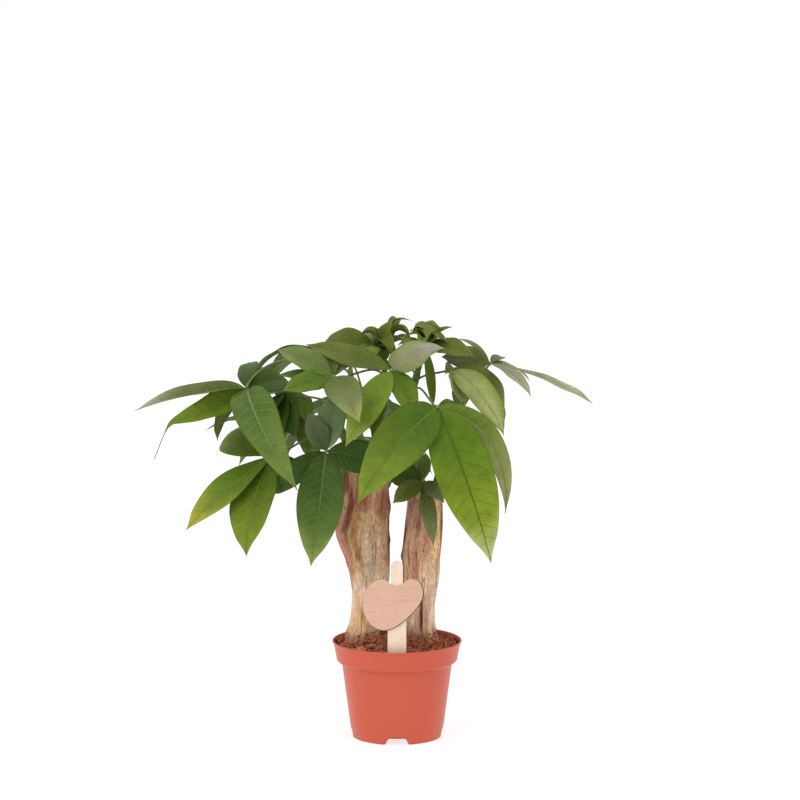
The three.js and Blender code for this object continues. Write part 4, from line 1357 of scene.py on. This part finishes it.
def make_soil(settings):
    low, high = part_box("soil")
    rng = np.random.default_rng(71)
    radius = high[0] - 0.9 * MM
    shape = Shape()
    add_soil_body(shape, low, high, radius, settings)
    spots = [(*clear_spot(rng, radius - 1.6 * MM), 0.0) for _ in range(settings.crumbs)]
    for spec in TRUNKS.values():
        spots += foot_spots(rng, spec, settings.clinging)
    kinds = [crumb_mesh(1), crumb_mesh(2)]
    for spot in spots:
        add_crumb(shape, spot, kinds, settings, rng)
    material = soil_material()
    piece = shape.build("soil_crumbs", [material], smooth=False)
    finish_piece(piece, "soil", "soil")
    fibres = Shape()
    add_root_hairs(fibres, settings, rng, radius)
    add_fibres(fibres, settings, rng, radius)
    finish_piece(fibres.build("soil_fibres", [material]), "soil")


def add_root_hairs(shape, settings, rng, radius):
    """Fine roots out of the trunks' feet, which end before the pot's wall."""
    husk = np.array(settings.husk)
    for x, y, half_width, half_depth in trunk_ovals():
        for turn in rng.uniform(0, TAU, settings.root_hairs):
            out = np.linspace(0.93, rng.uniform(1.12, 1.42), 6)
            turns = turn + np.linspace(0, rng.normal(0, 0.28), 6)
            along = (x + half_width * out * np.cos(turns), y + half_depth * out * np.sin(turns))
            path = np.column_stack(along)
            if np.hypot(*path.T).max() > radius - WALL_GAP:
                continue
            rise = rng.uniform(1, 5) * MM * np.linspace(1, 0, 6) ** 2 + rng.uniform(0.4, 1.4) * MM
            points = np.column_stack([path, soil_top(settings, *path.T) + rise])
            radii = rng.uniform(0.14, 0.34) * MM * np.linspace(1, 0.4, 6)
            tube(shape, points, radii, 5, crumb_colour=husk * rng.uniform(0.7, 1.5))


def add_fibres(shape, settings, rng, radius):
    """Loose husk fibres that lie on the soil in short bends, clear of the pot's wall."""
    husk = np.array(settings.husk)
    slimming = np.array([0.5, 0.9, 1, 1, 1, 0.9, 0.5])
    for _ in range(settings.fibres):
        x, y = clear_spot(rng, radius - 9 * MM)
        heading, bend = rng.uniform(0, TAU), rng.normal(0, 1.4)
        length = rng.uniform(5, 13) * MM
        turns = heading + bend * np.linspace(-0.5, 0.5, 7)
        path = np.cumsum(np.stack([np.cos(turns), np.sin(turns)], -1) * length / 6, axis=0)
        path += np.array((x, y)) - path[3]
        if np.hypot(*path.T).max() >= radius - WALL_GAP:
            continue
        heights = soil_top(settings, *path.T) + rng.uniform(0.8, 2.2) * MM
        heights += np.sin(np.linspace(0, math.pi, 7)) * rng.uniform(0, 1.4) * MM
        points = np.column_stack([path, heights])
        radii = rng.uniform(0.1, 0.22) * MM * slimming
        tube(shape, points, radii, 5, crumb_colour=husk * rng.uniform(0.6, 1.3))


# ---------------------------------------------------------------- trunks


def trunk_rings(sections, heights):
    """Middle and half sizes of a trunk at each height, smooth through its sections."""
    table = np.array(sections, float) * MM
    columns = []
    for column in range(1, 5):
        line = np.stack([table[:, 0], table[:, column], np.zeros(len(table))], -1)
        curve = spline(line, 12)
        columns.append(np.interp(heights, curve[:, 0], curve[:, 1]))
    return columns


def turned_from(turn, degrees):
    """The turn from a place on a trunk, in radians, from half a turn back to half a turn on."""
    return (turn - math.radians(degrees) + math.pi) % TAU - math.pi


def bump_relief(bumps, turn, height, radius):
    """How far the table's knobs and clefts stand out at each point."""
    relief = np.zeros_like(turn)
    for degrees, level, half_round, half_high, out in bumps:
        around = np.abs(turned_from(turn, degrees)) * radius / (half_round * MM)
        above = (height - level * MM) / (half_high * MM)
        relief += out * MM * np.exp(-(around**2) - above**2)
    return relief


def make_trunk(name, spec, settings, materials):
    sections, sides = spec["sections"], settings.sides
    bottom, top = sections[0][0] * MM, sections[-1][0] * MM
    step, bevel = 0.9 * MM, 2.2 * MM
    bevel_foot = top - bevel
    heights = np.arange(bottom, bevel_foot, step)
    heights = np.concatenate([heights, top - bevel * np.linspace(1, 0, 5)])
    turn, height = np.meshgrid(np.linspace(0, TAU, sides, endpoint=False), heights)
    x, y, half_width, half_depth = (column[:, None] for column in trunk_rings(sections, heights))
    worn = ((height - bevel_foot) / bevel).clip(0, 1)
    rounding = np.sqrt(np.clip(1 - worn**2, 0, 1))
    half_width = half_width - bevel * (1 - rounding)
    half_depth = half_depth - bevel * (1 - rounding)
    radius = (half_width + half_depth) / 2
    lobes, lobe_turn, lobe_depth = spec["flare"]
    spread = np.clip(1 - (height - bottom) / (FLARE_TOP - bottom), 0, 1)
    flare = lobe_depth * spread * np.cos(lobes * (turn + lobe_turn))
    share_out = 1 + 0.02 * np.sin(7 * turn + 40 * height) + flare
    skin = np.stack([np.cos(turn) * radius, np.sin(turn) * radius, height * 0.16], -1).reshape(-1, 3)
    furrows = fractal(skin, 240, 4, seed_of(name)).reshape(turn.shape)
    lumps = fractal(skin * (1, 1, 3), 55, 2, seed_of(name) + 9).reshape(turn.shape)
    relief = bump_relief(spec["bumps"], turn, height, radius)
    relief += settings.fissure_depth * (0.9 * furrows - 0.6 * np.abs(furrows)) + 0.5 * MM * lumps
    relief *= rounding
    across = x + (half_width * share_out + relief) * np.cos(turn)
    away = y + (half_depth * share_out + relief) * np.sin(turn)
    points = np.stack([across, away, height], -1)
    tints = bark_tints(spec, settings, name, turn, height, furrows, skin)
    faces = grid_faces(len(heights), sides, wrap=True) + [list(range(sides))[::-1]]
    shape = Shape()
    shape.add(points, faces, 0, bark_colour=tints.reshape(-1, 3))
    add_sawn_top(shape, points[-1], seed_of(name))
    finish_piece(shape.build(f"{name}_bark", materials), "bark", name)


def bark_tints(spec, settings, name, turn, height, furrows, skin):
    """The bark's colour at each point: tan to mauve, with the patches of the table. It darkens from
    cream to tan towards the top, partly the bark's own colour and partly painted shade from the leaves
    above.
    """
    cream, tan, mauve = (np.array(value) for value in (settings.cream, settings.tan, settings.mauve))
    drift = fractal(skin * (1, 1, 2), 40, 3, seed_of(name) + 5).reshape(turn.shape)
    streak = fractal(skin * (1, 1, 0.7), 190, 3, seed_of(name) + 7).reshape(turn.shape)
    # Cream below, tan above: partly the bark's own colour, partly painted shade from the leaves above.
    old = smoothstep(height + 22 * MM * drift, 132 * MM, 176 * MM)
    tints = mix(cream, tan, old[..., None])
    warm = smoothstep(drift + 0.6 * streak + spec["rosy"], 0.15, 0.8)
    tints = mix(tints, mauve, 0.5 * warm[..., None])
    for key, degrees, level, half_round, half_high in spec["patches"]:
        around = turned_from(turn, degrees) / math.radians(half_round)
        above = (height - level * MM) / (half_high * MM)
        far = around**2 + above**2
        edge = np.exp(-far) * (1 + 0.8 * drift) + 0.5 * streak
        amount = smoothstep(edge, 0.25, 0.9) * np.exp(-0.3 * far) * 0.95
        tints = mix(tints, np.array(srgb(BARK_TINTS[key])), amount[..., None])
    low = smoothstep(height + 8 * MM * streak, 103 * MM, 91 * MM)
    tints = mix(tints, np.array(settings.soiled), (0.8 * low)[..., None])
    return tints * (1 - 0.3 * smoothstep(-furrows, 0.1, 0.7))[..., None]


def add_sawn_top(shape, rim, seed):
    """Closes a trunk with its sawn face: rings of points from the worn edge in to the pith."""
    middle = rim.mean(axis=0)
    rings, values = [], []
    for part in np.linspace(1, 0.06, 14):
        ring = middle + (rim - middle) * part
        ring[:, 2] += (1 - part) * MM * (0.35 * fractal(ring, 300, 2, seed) - 0.5)
        rings.append(ring)
        values.append(np.column_stack([(rim - middle)[:, :2] * part / (20 * MM), np.zeros(len(rim))]))
    faces = grid_faces(len(rings), len(rim), wrap=True) + [last_ring(len(rings), len(rim))]
    shape.add(np.concatenate(rings), faces, 1, sawn=np.concatenate(values))


# ---------------------------------------------------------------- shoots and leaves


# Joints low on every shoot, where old leaves have fallen: shares of its length.
OLD_JOINTS = [0.22, 0.55]

# Usual width of a leaflet, over its length.
USUAL_WIDTH = 0.36

# The knuckle at a leaf's hub, in millimetres: height over the hub and radius.
KNUCKLE = [(-1.6, 0.7), (-0.9, 1.5), (0, 1.9), (0.7, 1.5), (1.1, 0.6)]


def make_shoot(name, settings, material):
    line, (root, tip) = SHOOTS[name]
    rng = np.random.default_rng(seed_of(name))
    rings = 90
    shares = np.linspace(0, 1, rings)
    points = along_curve(spline(line), shares) * MM
    joints = sorted({leaf["at"] for leaf in LEAVES.values() if leaf["shoot"] == name}) + OLD_JOINTS
    swelling = sum(0.16 * np.exp(-(((shares - joint) / 0.02) ** 2)) for joint in joints)
    collar = 0.125 * np.exp(-((shares / 0.12) ** 2))
    radii = mix(root, tip, shares) * MM * (1 + swelling + collar)
    radii = radii * (1 + 0.03 * rng.normal(size=rings))
    old = smoothstep(1 - shares, 0.45, 0.95)[:, None]
    scars = 0.45 * sum(np.exp(-(((shares - joint - 0.012) / 0.008) ** 2)) for joint in joints)
    skin = mix(np.array(settings.young), np.array(settings.old), old) * (1 - scars)[:, None]
    shape = Shape()
    tube(shape, points, radii, settings.sides, stem_colour=skin)
    finish_piece(shape.build(f"{name}_stem", [material]), "shoot", name)


def outline(t, widest):
    """Half width of a leaflet over its largest, with a drawn-out tip. widest: where it is broadest."""
    swell = np.sin(math.pi * t ** (math.log(0.5) / math.log(widest)))
    return np.where(t < widest, swell**0.8, swell) * (1 - 0.3 * smoothstep(t, 0.8, 0.96))


def leaflet_width(row):
    """A leaflet's width in metres: the table's, or the usual share of its length."""
    _, _, length, _, unusual = row
    return unusual.get("width", USUAL_WIDTH * length) * MM


def leaflet_spine(hub, face, row, t):
    """A leaflet's midrib, the way across it, the way that its upper side looks and its half width."""
    heading, fall, length, _, unusual = row
    a, b, length = math.radians(heading), math.radians(fall), length * MM
    chord = np.array([math.cos(b) * math.cos(a), math.cos(b) * math.sin(a), -math.sin(b)])
    up = unit(face - chord * np.dot(face, chord))
    side = np.cross(chord, up)
    roll = math.radians(unusual.get("roll", 0))
    level_up, level_side = up, side
    up = level_up * math.cos(roll) + level_side * math.sin(roll)
    side = level_side * math.cos(roll) - level_up * math.sin(roll)
    lift = (up * 1.2 * unusual.get("arch", 0.12) + side * 1.33 * unusual.get("bow", 0)) * length
    p1 = hub + chord * length / 3 + lift * (1 + unusual.get("spring", 0))
    p2 = hub + chord * length * 0.75 + lift
    centre, tangent = bezier(hub + chord * 1.8 * MM, p1, p2, hub + chord * length, t)
    if "drip" in unusual:
        hang = (smoothstep(t, 0.74, 1.05) / smoothstep(1.0, 0.74, 1.05)) ** 1.2
        centre[:, 2] -= unusual["drip"] * MM * hang
        tangent = np.gradient(centre, axis=0)
        tangent /= np.linalg.norm(tangent, axis=1, keepdims=True)
    across = side - tangent * (tangent @ side)[:, None]
    across /= np.linalg.norm(across, axis=1, keepdims=True)
    before_tail = np.minimum(t / (1 - unusual.get("tail", 0)), 1)
    half = leaflet_width(row) / 2 * outline(before_tail, unusual.get("widest", 0.45))
    least = mix(1.0, 0.35, t) * MM
    return centre, across, np.cross(across, tangent), np.maximum(least, half)


def add_leaflet(shape, hub, face, row, settings, rng):
    """One leaflet of the table, as a thin closed blade on its hub."""
    _, _, length, tone, unusual = row
    width, length = leaflet_width(row), length * MM
    rows = max(16, round(length / settings.cell))
    columns = 2 * max(4, round(width / settings.cell / 2))
    t = np.linspace(0, 1, rows + 1)
    s = np.linspace(-1, 1, columns + 1)
    centre, side, normal, half = leaflet_spine(hub, face, row, t)
    across = s[None, :] * half[:, None]
    along = np.broadcast_to(t[:, None], across.shape)
    blade = np.stack([across / length, along, np.broadcast_to(s, across.shape)], -1)
    lift = np.abs(across) * unusual.get("fold", settings.fold)
    lift = lift + leaf_relief(blade, half, unusual, settings, rng)
    middle = centre[:, None] + across[..., None] * side[:, None] + lift[..., None] * normal[:, None]
    half_thick = mix(settings.thickness, settings.rim_thickness, s**2)[None, :] / 2
    half_thick = half_thick * np.minimum(1, half / (2.2 * MM))[:, None].clip(0.35)
    offset = half_thick[..., None] * normal[:, None]
    colours, vein_colours = leaf_colours(blade, tone, unusual, rng)
    add_blade(shape, middle + offset, middle - offset, blade, colours, vein_colours)


def leaf_relief(blade, half, unusual, settings, rng):
    """Height of a blade over its folded shape: quilting between the side veins, and a waved edge."""
    across, t, s = blade[..., 0], blade[..., 1], blade[..., 2]
    away = np.abs(across)
    phase = (t - SIDE_SLANT * away - SIDE_CURVE * away**2) * settings.vein_pairs + 0.5 * (across < 0)
    bulge = np.sqrt(np.abs(np.sin(math.pi * phase)))
    inner = np.sin(math.pi * np.abs(s)) ** 0.7 * smoothstep(half, 3 * MM, 9 * MM)[:, None]
    quilt = settings.quilting * unusual.get("quilt", 1) * bulge * inner
    starts = rng.uniform(0, TAU, 2)
    pace = rng.uniform(1.6, 2.6)
    waves = np.where(s < 0, np.sin(TAU * pace * t + starts[0]), np.sin(TAU * pace * t + starts[1]))
    size = settings.wave * smoothstep(half, 3 * MM, 12 * MM)[:, None]
    return quilt + size * waves * np.abs(s) ** 2.5


def leaf_colours(blade, tone, unusual, rng):
    """Colours of the blade and of its veins at each point."""
    near, far, vein = (np.array(srgb(rgb)) for rgb in TONES[tone])
    t, s = blade[..., 1:2], blade[..., 2:3]
    shift = rng.normal(0, 0.05)
    colours = mix(near, far, smoothstep(t, 0.15, 1.0))
    colours = colours * (1 + shift) * (1 + 0.12 * np.abs(s) - 0.04)
    if "rim" in unusual:
        outer = np.array(srgb(TONES[unusual["rim"]][1]))
        colours = mix(colours, outer, 0.75 * smoothstep(np.abs(s), 0.3, 0.9))
    tip = unusual.get("tip", "usual")
    ending, start = TIPS[tip]
    streaky = smoothstep(t + 0.1 * np.abs(s) ** 3, start, 1.0) * (0.8 if tip != "usual" else 0.5)
    colours = mix(colours, np.array(srgb(ending)), streaky)
    return colours, mix(vein * 0.9, vein, t)


def add_blade(shape, top, bottom, blade, colours, vein_colours):
    """A thin closed blade between two grids of points, with its rim sewn round."""
    rows, columns = top.shape[:2]
    lower = rows * columns
    faces = grid_faces(rows, columns, flip=True) + grid_faces(rows, columns, start=lower)
    upper = [0] * ((rows - 1) * (columns - 1))
    slots = upper + [1] * len(upper)
    rim = [row * columns for row in range(rows)]
    rim += [(rows - 1) * columns + column for column in range(1, columns)]
    rim += [row * columns + columns - 1 for row in range(rows - 2, -1, -1)]
    rim += list(range(columns - 2, 0, -1))
    for a, b in zip(rim, rim[1:] + rim[:1]):
        faces.append([a + lower, b + lower, b, a])
        slots.append(0)
    values = {"blade": blade, "leaf_colour": colours, "vein_colour": vein_colours}
    both_sides = {name: np.stack([value, value]).reshape(-1, 3) for name, value in values.items()}
    shape.add(np.stack([top, bottom]), faces, slots, **both_sides)


def stalk_points(leaf, hub, face):
    """The stalk's middle line from its shoot to the hub, as in the solids."""
    root = along_curve(spline(SHOOTS[leaf["shoot"]][0]), [leaf["at"]])[0] * MM
    span = hub - root
    reach = np.linalg.norm(span)
    leave = unit(np.array([span[0], span[1], 0])) + (0, 0, 1)
    arrive = unit(np.array(leaf["arrive"])) if "arrive" in leaf else mix(unit(span), face, 0.25)
    p1, p2 = root + leave * reach * 0.25, hub - arrive * reach * 0.35
    return bezier(root, p1, p2, hub, np.linspace(0, 1, 40))[0]


def add_stalk(shape, leaf, hub, face, settings):
    """The stalk, thickened at both ends, and the knuckle that its leaflets grow from."""
    points = stalk_points(leaf, hub, face)
    shares = np.linspace(0, 1, len(points))
    swelling = 0.85 * np.exp(-((shares / 0.09) ** 2)) + 0.9 * np.exp(-(((1 - shares) / 0.035) ** 2))
    stalk, red = np.array(settings.stalk), np.array(settings.stalk_red)
    redness = leaf.get("red", 0.25) * smoothstep(shares, 0.0, 0.5) * smoothstep(1 - shares, 0.0, 0.4)
    skin = mix(stalk, red, redness[:, None])
    tube(shape, points, settings.stalk_radius * (1 + swelling), 12, 2, stalk_colour=skin)
    levels, radii = np.array(KNUCKLE).T * MM
    tube(shape, hub + levels[:, None] * face, radii, 14, 2, stalk_colour=stalk * 1.1)


def make_leaf(name, settings, materials):
    leaf = LEAVES[name]
    rng = np.random.default_rng(seed_of(name))
    hub = np.array(leaf["hub"], float) * MM
    face = unit(np.array(leaf["face"], float))
    shape = Shape()
    for row in leaf["leaflets"]:
        add_leaflet(shape, hub, face, row, settings, rng)
    add_stalk(shape, leaf, hub, face, settings)
    finish_piece(shape.build(f"{name}_blades", materials), "leaf", name)


# ---------------------------------------------------------------- tag


# The point that the tag leans about: the middle of the stake at the height of the pot's lip.
TAG_PIVOT = np.array((0, -49.6, 90)) * MM


def arc(cx, cy, radius, start, end, steps):
    """Points of a round stretch, in degrees."""
    turns = np.radians(np.linspace(start, end, steps))
    return [(cx + radius * math.cos(turn), cy + radius * math.sin(turn)) for turn in turns]


def plate_outline():
    """The plain plate: two rounded lobes with a dip between them, and a rounded lower end.

    Its curves are in millimetres from the plate's middle.
    """
    stretches = [
        ((-12, -23), (-20, -21), (-27.5, -11), (-27.5, 2)),
        ((-27.5, 2), (-27.5, 14), (-20, 25), (-11, 25)),
        ((-11, 25), (-4, 25), (-3.5, 18), (2, 18)),
        ((2, 18), (8, 18), (10, 25.5), (17, 25.5)),
        ((17, 25.5), (25, 25.5), (28, 18), (27, 9)),
        ((27, 9), (26, 0), (2, -27), (-12, -23)),
    ]
    t = np.linspace(0, 1, 18, endpoint=False)
    middle = np.array((-3, 43))
    curves = [bezier(*(np.array(point, float) for point in stretch), t)[0] for stretch in stretches]
    return (np.concatenate(curves)[::-1] + middle) * MM


def stake_outline(settings):
    """The stake: a buried point, straight sides, shoulders and a round-ended tongue.

    Its points are in millimetres from the tag's pivot.
    """
    half, tongue = settings.stake_width / 2 / MM, settings.tongue_width / 2 / MM
    points = [(0, -40), (half, -28), (half, 33), (half - 0.4, 35), (tongue + 0.4, 55), (tongue, 57)]
    points += arc(0, 85 - tongue, tongue, 0, 180, 25)
    points += [(-tongue, 57), (-tongue - 0.4, 55), (0.4 - half, 35), (-half, 33), (-half, -28)]
    return np.array(points, float) * MM


def make_slab(name, flat, depths, lean, materials, edge, margin=0):
    """A flat piece of the tag with softened edges, leaned to the viewer about the tag's pivot.

    depths: the back and the front, from the middle of the stake to the viewer. margin: the width of
    the strip round the front that has the edge's material.
    """
    back, front = depths
    sides = len(flat)
    run = np.roll(flat, -1, axis=0) - np.roll(flat, 1, axis=0)
    inward = np.stack([-run[:, 1], run[:, 0]], -1) / np.linalg.norm(run, axis=1, keepdims=True)
    soft = edge * 0.3
    sections = [
        (edge, back),
        (soft, back + soft),
        (0, back + edge),
        (0, front - edge),
        (soft, front - soft),
        (edge, front),
    ]
    if margin:
        sections.append((margin, front))
    rings = [np.column_stack([flat + inward * inset, np.full(sides, out)]) for inset, out in sections]
    x, up, out = np.concatenate(rings).T
    away = -out * math.cos(lean) - up * math.sin(lean)
    leaned = np.stack([x, away, up * math.cos(lean) - out * math.sin(lean)], -1)
    faces = grid_faces(len(rings), sides, wrap=True)
    slots = [1] * len(faces) + [0, 0]
    faces += [list(range(sides))[::-1], last_ring(len(rings), sides)]
    shape = Shape()
    shape.add(leaned + TAG_PIVOT, faces, slots)
    return shape.build(name, materials, smooth=False)


def make_tag(settings):
    stake_wood = wood_material("pale stake wood", tuple(settings.pale), (1.0, 1.0, 0.07), 0.25)
    plate_wood = wood_material("pink plate wood", tuple(settings.pink), (0.09, 1.0, 1.0), 0.22)
    half = settings.stake_thickness / 2
    woods = [stake_wood, stake_wood]
    flat, depths, edge = stake_outline(settings), (-half, half), 0.25 * MM
    stake = make_slab("tag_stake_wood", flat, depths, settings.lean, woods, edge)
    finish_piece(stake, "tag_wood", "tag_stake")
    glue, edge, margin = 0.3 * MM, 0.12 * MM, 0.7 * MM
    depths = (half + glue, half + glue + settings.plate_thickness)
    woods = [plate_wood, charred_material(settings)]
    plate = make_slab("tag_plate_wood", plate_outline(), depths, settings.lean, woods, edge, margin)
    finish_piece(plate, "tag_wood", "tag_plate")


# ---------------------------------------------------------------- studio


# The camera stands where the photograph was taken from: its place in metres and how far it looks down.
CAMERA_PLACE = (0.00278, -2.6, 0.6379)
CAMERA_PITCH = math.radians(7.11)

# What the lamps look at, and each lamp's place and size in metres.
LAMPS_AIM = (0, 0, 0.24)
LAMPS = {
    "key": ((-1.5, -1.7, 2.1), 1.6),
    "fill": ((1.9, -1.4, 1.2), 1.6),
    "back": ((0.4, 2.0, 2.2), 1.8),
}


def make_camera(settings):
    camera = bpy.data.objects.new("camera", bpy.data.cameras.new("camera"))
    camera.data.sensor_width = 36
    camera.data.lens = settings.lens / MM
    camera.data.clip_end = 200
    camera.location = CAMERA_PLACE
    camera.rotation_euler = (math.pi / 2 - CAMERA_PITCH, 0, 0)
    bpy.context.scene.collection.objects.link(camera)
    bpy.context.scene.camera = camera


def make_lamp(name, power):
    place, size = LAMPS[name]
    lamp = bpy.data.objects.new(f"{name}_lamp", bpy.data.lights.new(f"{name}_lamp", "AREA"))
    lamp.data.size = size
    lamp.data.energy = power
    lamp.location = place
    lamp.rotation_euler = (Vector(LAMPS_AIM) - Vector(place)).to_track_quat("-Z", "Y").to_euler()
    bpy.context.scene.collection.objects.link(lamp)


def make_world(settings):
    """A soft dome, brighter from above, that the camera sees as white."""
    world = bpy.data.worlds.new("studio")
    world.use_nodes = True
    background = world.node_tree.nodes["Background"].inputs
    nodes = Nodes(world.node_tree)
    up = nodes.parts(nodes.add("ShaderNodeTexCoord").outputs["Generated"])[2]
    sky = nodes.step(up, -0.1, 1.0, settings.dome_side, settings.dome)
    seen = nodes.add("ShaderNodeLightPath").outputs["Is Camera Ray"]
    just_over_white = nodes.times(seen, 1.02)
    background["Color"].default_value = (1, 1, 1, 1)
    nodes.set(background["Strength"], nodes.math("MAXIMUM", sky, just_over_white))
    bpy.context.scene.world = world
    bpy.context.scene.view_settings.view_transform = "Standard"


def make_floor(settings):
    """A round plain floor that gives off a little light, so that it meets the dome unseen."""
    reach, sides = 60.0, 64
    turns = np.linspace(0, TAU, sides, endpoint=False)
    rim = np.stack([reach * np.cos(turns), reach * np.sin(turns), np.zeros(sides)], -1)
    shape = Shape()
    shape.add(rim, [list(range(sides))])
    finish = {"Roughness": 0.9, "Specular_IOR_Level": 0.0}
    shine = {"Emission_Color": (1, 1, 1, 1), "Emission_Strength": settings.glow}
    material, nodes, shader = new_material("pale floor", **finish, **shine)
    tone = mottle(nodes, tuple(settings.floor), nodes.place(), 3.0, 90.0, 0.004)
    nodes.set(shader["Base Color"], tone["Colour"])
    shape.build("studio_floor", [material], smooth=False)


def make_studio(settings):
    make_world(settings)
    make_floor(settings)
    make_lamp("key", settings.key)
    make_lamp("fill", settings.fill)
    make_lamp("back", settings.back)
    make_camera(settings)


# ---------------------------------------------------------------- add-on


class MONEYTREE_OT_studio(bpy.types.Operator):
    """Set up the pale floor, the soft lamps and the camera"""

    bl_idname = "money_tree.studio"
    bl_label = "Make Studio"

    def execute(self, context):
        make_studio(context.scene.money_tree_studio)
        return {"FINISHED"}


class MONEYTREE_OT_pot(bpy.types.Operator):
    """Make the moulded plastic pot"""

    bl_idname = "money_tree.pot"
    bl_label = "Make Pot"

    def execute(self, context):
        make_pot(context.scene.money_tree_pot)
        return {"FINISHED"}


class MONEYTREE_OT_soil(bpy.types.Operator):
    """Fill the pot with crumbs and fibres"""

    bl_idname = "money_tree.soil"
    bl_label = "Make Soil"

    def execute(self, context):
        make_soil(context.scene.money_tree_soil)
        return {"FINISHED"}


class MONEYTREE_OT_trunks(bpy.types.Operator):
    """Grow the two cut trunks with their bark"""

    bl_idname = "money_tree.trunks"
    bl_label = "Make Trunks"

    def execute(self, context):
        settings = context.scene.money_tree_trunk
        materials = [bark_material(settings), sawn_material()]
        for name, spec in TRUNKS.items():
            make_trunk(name, spec, settings, materials)
        return {"FINISHED"}


class MONEYTREE_OT_shoots(bpy.types.Operator):
    """Grow the green shoots out of the trunks' tops"""

    bl_idname = "money_tree.shoots"
    bl_label = "Make Shoots"

    def execute(self, context):
        material = stem_material("shoot skin", "stem_colour", 0.5)
        for name in SHOOTS:
            make_shoot(name, context.scene.money_tree_shoot, material)
        return {"FINISHED"}


class MONEYTREE_OT_leaves(bpy.types.Operator):
    """Grow the compound leaves on their stalks"""

    bl_idname = "money_tree.leaves"
    bl_label = "Make Leaves"

    def execute(self, context):
        settings = context.scene.money_tree_leaf
        stalk = stem_material("leaf stalk", "stalk_colour", 0.45)
        materials = [upper_material(settings), under_material(settings), stalk]
        for name in LEAVES:
            make_leaf(name, settings, materials)
        return {"FINISHED"}


class MONEYTREE_OT_tag(bpy.types.Operator):
    """Make the wooden stake and its plain plate"""

    bl_idname = "money_tree.tag"
    bl_label = "Make Tag"

    def execute(self, context):
        make_tag(context.scene.money_tree_tag)
        return {"FINISHED"}


OPERATORS = (
    MONEYTREE_OT_studio,
    MONEYTREE_OT_pot,
    MONEYTREE_OT_soil,
    MONEYTREE_OT_trunks,
    MONEYTREE_OT_shoots,
    MONEYTREE_OT_leaves,
    MONEYTREE_OT_tag,
)

SETTINGS = {
    "money_tree_pot": PotSettings,
    "money_tree_soil": SoilSettings,
    "money_tree_trunk": TrunkSettings,
    "money_tree_shoot": ShootSettings,
    "money_tree_leaf": LeafSettings,
    "money_tree_tag": TagSettings,
    "money_tree_studio": StudioSettings,
}


class MONEYTREE_PT_panel(bpy.types.Panel):
    """Lists the pieces of the plant and their settings"""

    bl_label = "Potted Money Tree"
    bl_space_type = "VIEW_3D"
    bl_region_type = "UI"
    bl_category = "Money Tree"

    def draw(self, context):
        for operator in OPERATORS:
            self.layout.operator(operator.bl_idname)
        for key, group in SETTINGS.items():
            box = self.layout.box()
            box.label(text=key.removeprefix("money_tree_").capitalize())
            for name in group.__annotations__:
                box.prop(getattr(context.scene, key), name)


def register():
    for group in SETTINGS.values():
        bpy.utils.register_class(group)
    for operator in OPERATORS:
        bpy.utils.register_class(operator)
    bpy.utils.register_class(MONEYTREE_PT_panel)
    for key, group in SETTINGS.items():
        setattr(bpy.types.Scene, key, PointerProperty(type=group))


def unregister():
    for key in SETTINGS:
        delattr(bpy.types.Scene, key)
    for registered in (MONEYTREE_PT_panel, *OPERATORS, *SETTINGS.values()):
        bpy.utils.unregister_class(registered)


def main():
    register()
    bpy.ops.money_tree.studio()
    bpy.ops.money_tree.pot()
    bpy.ops.money_tree.soil()
    bpy.ops.money_tree.trunks()
    bpy.ops.money_tree.shoots()
    bpy.ops.money_tree.leaves()
    bpy.ops.money_tree.tag()


if __name__ == "__main__":
    main()
